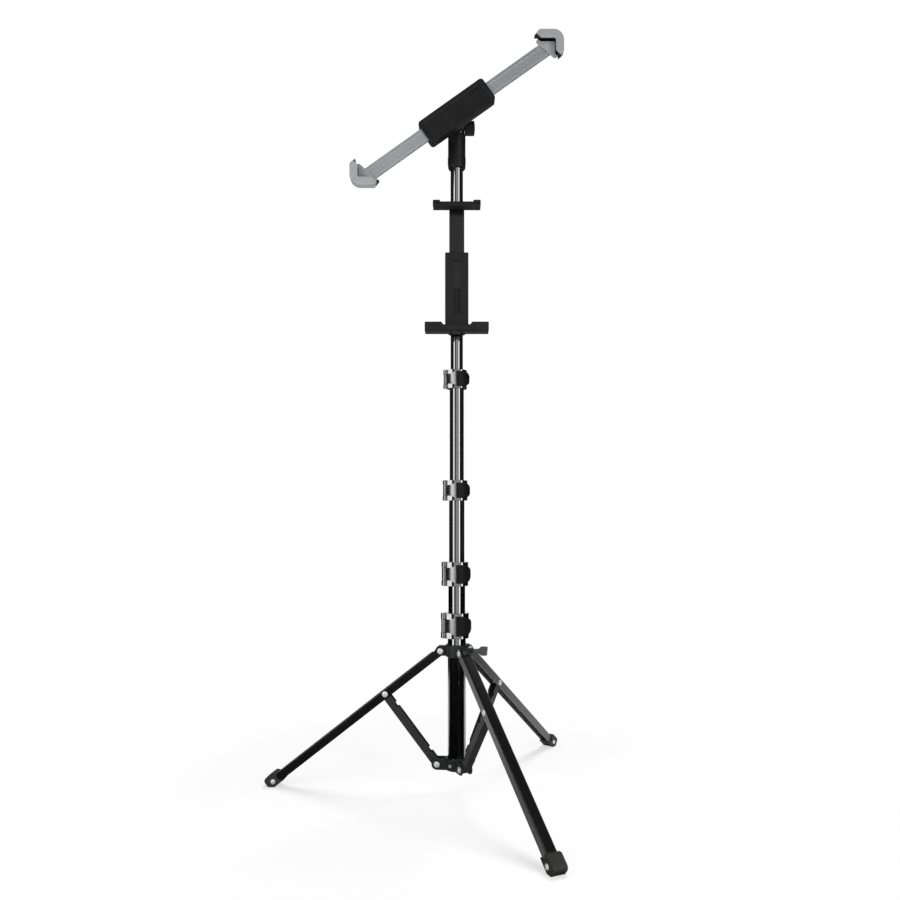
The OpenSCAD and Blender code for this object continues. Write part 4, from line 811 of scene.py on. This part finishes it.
knob = fluted_knob(radius=8.0, low=12.4, high=23.4, flutes=8, bite=0.9, edge=1.2)
joined(knob, round_bar(KNOB_SCREW_R, TOP_TUBE_R + TIP_ROOM, SCREW_ROOT, 32),
       lathe([(0.0, 23.2), (5.0, 23.2), (4.6, 23.7), (0.0, 23.9)], 48))
hand_over("clamp_thumb_knob", placed(knob, clamp_knob_frame), black_moulding, "phone_knob",
          "phone_clamp_knob")

# Slim holder, sliding half: a flat steel bar in the back's channel carries the upper jaw.
# The jaw has a short hooked lip, two raised ends and its own rubber pad underneath.
JAW_SPAN, TOP_W, TOP_T, TOP_LIP, TOP_END_W, TOP_END_H = 149.0, 56.6, 4.0, 2.0, 8.6, 1.8
BAR_HALF, BAR_FRONT, BAR_BACK, BAR_LOW, BAR_BITE, BAR_EDGE = 9.0, 16.9, 14.5, 54.0, 1.0, 0.5
TOP_CURVE, HOOK_CURVE, ROOT_CURVE, TOP_EDGE, END_START, END_EDGE = 1.6, 0.8, 1.0, 0.6, 0.8, 0.9
top_z = PHONE_Z + JAW_SPAN
bar = soften(block((-BAR_HALF, -BAR_FRONT, PHONE_Z + BAR_LOW), (BAR_HALF, -BAR_BACK, top_z + BAR_BITE)),
             BAR_EDGE)
hand_over("sliding_bar", bar, powder_coat_painted_sheen, "phone_top", "phone_bar")
top_jaw = slab([(-LIP_OUT, -TOP_LIP), (-LIP_IN, -TOP_LIP), (-LIP_IN, 0.0), (-BACK_Y, 0.0),
                (-BACK_Y, TOP_T), (-LIP_OUT, TOP_T)], TOP_W,
               [(TOP_CURVE, (5,)), (HOOK_CURVE, (0, 1)), (ROOT_CURVE, (2,))], 5)
placed(soften(top_jaw, TOP_EDGE), along_x(-TOP_W / 2, top_z))
for middle in (-(TOP_W - TOP_END_W) / 2, (TOP_W - TOP_END_W) / 2):
    rise = soften(block((middle - TOP_END_W / 2, -LIP_OUT, top_z + END_START),
                        (middle + TOP_END_W / 2, -BACK_Y, top_z + TOP_T + TOP_END_H)), END_EDGE)
    joined(top_jaw, rise)
hand_over("upper_jaw_hook", top_jaw, black_moulding, "phone_top", "phone_jaw_upper")
pad_shape = ribbed_pad(TOP_W, top_z - PAD_T, top_z, False, 14)
hand_over("upper_jaw_pad", pad_shape, soft_rubber, "phone_top", "phone_pad_upper")

# Head: a swivel socket turns on the top tube's end and carries two ears for the tilt bolt.
# A bracket tilts between the ears, held by a fluted knob on the right and a nut on the left.
TILT_Z, SOCKET_R, SOCKET_LEAD_R, SOCKET_EDGE = 809.5, 10.6, 10.0, 0.8
SOCKET_LOW, SOCKET_LEAD, SOCKET_STOP, SOCKET_HIGH = 759.5, 761.5, 787.5, 800.6
SOCKET_RIBS, RIB_PROFILE = (765.5, 768.5, 771.5), ((-0.5, 0.0), (0.45, 0.4), (0.45, 1.1), (-0.5, 1.5))
TONGUE_R, TONGUE_HALF, TONGUE_EDGE, EAR_IN, EAR_T, EAR_DROP = 8.6, 5.0, 0.6, 5.3, 4.0, 18.0
across, forward = (raised(TILT_Z) @ turned(90.0, axis) for axis in "YX")
socket = lathe([(clamp_bore, SOCKET_LOW), (SOCKET_LEAD_R, SOCKET_LOW), (SOCKET_R, SOCKET_LEAD),
                (SOCKET_R, SOCKET_HIGH), (0.0, SOCKET_HIGH), (0.0, SOCKET_STOP),
                (clamp_bore, SOCKET_STOP)])
soften(socket, SOCKET_EDGE)
for rib_z in SOCKET_RIBS:
    joined(socket, lathe([(SOCKET_R + r, rib_z + z) for r, z in RIB_PROFILE]))
for start in (-EAR_IN - EAR_T, EAR_IN):
    ear = slab([(-TONGUE_R, -EAR_DROP), (TONGUE_R, -EAR_DROP), (TONGUE_R, TONGUE_R),
                (-TONGUE_R, TONGUE_R)], EAR_T, [(TONGUE_R - ROUND_SHY, (2, 3))], 12)
    joined(socket, placed(soften(ear, TONGUE_EDGE), along_x(start, TILT_Z)))
hand_over("swivel_socket", socket, black_moulding, "head", "head_socket")

STALK_OUT, STALK_HALF, DISC_R, DISC_LEAD_R, SPIGOT_R, DISC_EDGE = 16.0, 5.0, 12.0, 11.0, 4.0, 0.5
DISC_BACK, DISC_LEAD, DISC_FRONT, SPIGOT_END = 15.0, 16.5, 29.7, 34.5
stalk = soften(block((-TONGUE_HALF, -STALK_OUT, TILT_Z - STALK_HALF),
                     (TONGUE_HALF, 0.0, TILT_Z + STALK_HALF)), TONGUE_EDGE)
eye = placed(round_bar(TONGUE_R, -TONGUE_HALF, TONGUE_HALF, 64, TONGUE_EDGE), across)
disc = lathe([(0.0, DISC_BACK), (DISC_LEAD_R, DISC_BACK), (DISC_R, DISC_LEAD), (DISC_R, DISC_FRONT),
              (SPIGOT_R, DISC_FRONT), (SPIGOT_R, SPIGOT_END), (0.0, SPIGOT_END)])
placed(soften(disc, DISC_EDGE), forward)
hand_over("tilt_bracket_moulding", joined(stalk, eye, disc), black_moulding, "tilt", "tilt_bracket")
WASHER_R, WASHER_FACE, WASHER_EDGE, DISH_R, DISH_IN, DISH_FLOOR = 7.0, 36.0, 0.25, 2.2, 1.6, 35.6
washer = lathe([(0.0, SPIGOT_END), (WASHER_R, SPIGOT_END), (WASHER_R, WASHER_FACE),
                (DISH_R, WASHER_FACE), (DISH_IN, DISH_FLOOR), (0.0, DISH_FLOOR)], 48)
placed(soften(washer, WASHER_EDGE, 2), forward)
hand_over("turning_washer", washer, bright_nickel, "tilt", "turn_washer")
BOLT_R, BOLT_TIP_R, BOLT_END, BOLT_LEAD, BOLT_ROOT = 2.5, 2.0, -13.3, -12.8, 9.8
NUT_BORE, NUT_R, NUT_CHAMFER, NUT_IN = 2.56, 5.0, 0.4, -9.3
tilt_knob = fluted_knob(radius=8.4, low=9.6, high=21.6, flutes=6, bite=1.5, edge=1.4)
joined(tilt_knob, lathe([(0.0, BOLT_END), (BOLT_TIP_R, BOLT_END), (BOLT_R, BOLT_LEAD),
                         (BOLT_R, BOLT_ROOT), (0.0, BOLT_ROOT)], 32),
       lathe([(0.0, 21.4), (5.2, 21.4), (4.8, 21.9), (0.0, 22.2)], 48))
hand_over("tilt_thumb_knob", placed(tilt_knob, across), black_moulding, "tilt_screw", "tilt_knob")
nut = lathe([(NUT_BORE, BOLT_END), (NUT_R - NUT_CHAMFER, BOLT_END), (NUT_R, BOLT_END + NUT_CHAMFER),
             (NUT_R, NUT_IN - NUT_CHAMFER), (NUT_R - NUT_CHAMFER, NUT_IN), (NUT_BORE, NUT_IN)], 6)
hand_over("tilt_hex_nut", placed(nut, across), bright_nickel, "head", "tilt_nut", crease=20.0)

# Wide holder: a moulded body with a screwed cover guides two flat alloy arms along a diagonal.
# One arm is fixed and the other slides out, and each carries a claw for one corner.
HOLD_W, HOLD_H = 235.0, 167.0
DIAGONAL = math.degrees(math.atan2(HOLD_H, HOLD_W))
HALF_DIAGONAL = math.hypot(HOLD_W, HOLD_H) / 2
BODY_BACK, ARM_Y, CLAW_Y, COVER_Y, COVER_T = 30.0, 36.25, 40.25, 40.5, 2.0
BODY_HALF, BODY_W, ARM_W, ARM_T = 46.0, 30.0, 16.0, 4.0
BODY_CURVE, BODY_EDGE, COVER_RIM, COVER_SLOPE, COVER_EDGE = 4.0, 0.7, 4.0, 0.6, 0.45
GUIDE_HALF, GUIDE_FLOOR, GUIDE_PAST, GUIDE_OPEN = 8.25, 36.0, 5.0, 60.0
TURN_BORE_R, SEAT_BORE_R, SEAT_FLOOR, BORE_LOW, BORE_HIGH = 4.06, 7.4, 34.25, 20.0, 40.0
ARM_CURVE, ARM_RIM, ARM_SLOPE, ARM_EDGE, RECESS, ARM_SHORT = 2.0, 4.2, 0.5, 0.5, 0.5, 5.0
FIXED_END, SLIDE_START = -39.0, 2.0
holder_frame = forward @ turned(DIAGONAL, "Z")
brushed_alloy = finish("brushed_alloy", (0.52, 0.53, 0.54), (0.57, 0.58, 0.59), (0.4, 0.43),
                       60.0, 500.0, 0.02, stretch=(0.05, 1.0, 1.0), lean=math.radians(DIAGONAL),
                       Metallic=0.7)


def recessed(shape, rim, slope, edge):
    front = max(shape.faces, key=lambda face: face.calc_center_median().z)
    bmesh.ops.inset_region(shape, faces=[front], thickness=rim, depth=0.0)
    bmesh.ops.inset_region(shape, faces=[front], thickness=slope, depth=-RECESS)
    return soften(shape, edge, 2, above=60.0)


shell = plate(-BODY_HALF, BODY_HALF, BODY_W, COVER_Y - BODY_BACK, BODY_CURVE, 6)
placed(soften(shell, BODY_EDGE), raised(BODY_BACK))
shell = carved(shell, block((-BODY_HALF - GUIDE_PAST, -GUIDE_HALF, GUIDE_FLOOR),
                            (BODY_HALF + GUIDE_PAST, GUIDE_HALF, GUIDE_OPEN)),
               round_bar(TURN_BORE_R, BORE_LOW, BORE_HIGH),
               round_bar(SEAT_BORE_R, SEAT_FLOOR, BORE_HIGH))
hand_over("holder_shell", placed(shell, holder_frame), black_moulding, "holder", "holder_body")
cover = plate(-BODY_HALF, BODY_HALF, BODY_W, COVER_T, BODY_CURVE, 6)
recessed(cover, COVER_RIM, COVER_SLOPE, COVER_EDGE)
placed(cover, holder_frame @ raised(COVER_Y))
hand_over("holder_front_cover", cover, black_moulding, "holder", "holder_cover")

for title, node, body, low, high in (
    ("fixed_arm_bar", "arm_fixed", "holder", ARM_SHORT - HALF_DIAGONAL, FIXED_END),
    ("sliding_arm_bar", "arm_slide", "sliding_arm", SLIDE_START, HALF_DIAGONAL - ARM_SHORT),
):
    arm = recessed(plate(low, high, ARM_W, ARM_T, ARM_CURVE, 5), ARM_RIM, ARM_SLOPE, ARM_EDGE)
    placed(arm, holder_frame @ raised(ARM_Y))
    hand_over(title, arm, brushed_alloy, body, node)

# Claws: silver grey moulded corner hooks on the arm ends, with a rounded outer corner and ends
# that are cut off at an angle. A thick black rubber angle inside each one grips the edges.
CLAW_WALL, CLAW_LIP, CLAW_X, CLAW_Z_LEN, CLAW_END, CLAW_CORNER = 6.4, 3.0, 25.6, 22.4, 4.0, 12.0
CLAW_FRONT, POCKET_BACK, POCKET_FRONT, CLAW_PAD, PAD_BLUNT = 52.05, 42.85, 49.45, 3.8, 0.5
PAD_CORNER = CLAW_CORNER - CLAW_WALL + CLAW_PAD
PAD_X, PAD_Z_LEN = CLAW_X + CLAW_WALL - CLAW_END, CLAW_Z_LEN + CLAW_WALL - CLAW_END
CLAW_INNER, CLAW_EDGE, CLAW_PAST, CLAW_MERGE, CLAW_PAD_EDGE = 2.0, 1.2, 60.0, 0.02, 0.15
FLOOR_BITE, FLOOR_CURVE, FLOOR_EDGE = -1.0, 2.0, 0.4
silver_plastic = finish("silver_plastic", (0.34, 0.345, 0.35), (0.38, 0.385, 0.39), (0.44, 0.5),
                        60.0, 2200.0, 0.08)
corner_frame = forward @ moved(-HOLD_W / 2, -HOLD_H / 2, 0.0)
opposite = raised(TILT_Z) @ turned(180.0, "Y") @ raised(-TILT_Z)
for side, body, flip in (("lower", "holder", Matrix.Identity(4)), ("upper", "sliding_arm", opposite)):
    claw = slab([(-CLAW_WALL, -CLAW_WALL), (CLAW_X - CLAW_END, -CLAW_WALL),
                 (CLAW_X, CLAW_END - CLAW_WALL), (CLAW_X - CLAW_LIP - CLAW_WALL + CLAW_END, CLAW_LIP),
                 (CLAW_LIP, CLAW_LIP), (CLAW_LIP, CLAW_Z_LEN - CLAW_LIP - CLAW_WALL + CLAW_END),
                 (CLAW_END - CLAW_WALL, CLAW_Z_LEN), (-CLAW_WALL, CLAW_Z_LEN - CLAW_END)],
                CLAW_FRONT - CLAW_Y, [(CLAW_CORNER, (0,)), (CLAW_INNER, (4,))], 10)
    soften(claw, CLAW_EDGE)
    bmesh.ops.remove_doubles(claw, verts=claw.verts, dist=CLAW_MERGE)
    placed(claw, raised(CLAW_Y))
    hollow = slab([(-CLAW_PAD, -CLAW_PAD), (CLAW_PAST, -CLAW_PAD), (CLAW_PAST, CLAW_PAST),
                   (-CLAW_PAD, CLAW_PAST)], POCKET_FRONT - POCKET_BACK, [(PAD_CORNER, (0,))], 10)
    claw = carved(claw, placed(hollow, raised(POCKET_BACK)))
    claw_floor = slab([(FLOOR_BITE, FLOOR_BITE), (CLAW_X - CLAW_END, FLOOR_BITE), (CLAW_X, CLAW_LIP),
                       (CLAW_LIP, CLAW_Z_LEN), (FLOOR_BITE, CLAW_Z_LEN - CLAW_END)],
                      POCKET_BACK - CLAW_Y, [(FLOOR_CURVE, (2, 3))])
    joined(claw, placed(soften(claw_floor, FLOOR_EDGE, 2), raised(CLAW_Y)))
    hand_over("claw_" + side + "_hook", placed(claw, flip @ corner_frame), silver_plastic, body,
              "claw_" + side)
    pad = slab([(-CLAW_PAD, -CLAW_PAD), (PAD_X - CLAW_PAD, -CLAW_PAD), (PAD_X - PAD_BLUNT, -PAD_BLUNT),
                (PAD_X - PAD_BLUNT, 0.0), (0.0, 0.0), (0.0, PAD_Z_LEN - PAD_BLUNT),
                (-PAD_BLUNT, PAD_Z_LEN - PAD_BLUNT), (-CLAW_PAD, PAD_Z_LEN - CLAW_PAD)],
               POCKET_FRONT - POCKET_BACK, [(PAD_CORNER, (0,))], 10)
    soften(pad, CLAW_PAD_EDGE, 2)
    placed(pad, flip @ corner_frame @ raised(POCKET_BACK))
    hand_over("claw_" + side + "_rubber", pad, soft_rubber, body, "claw_pad_" + side)
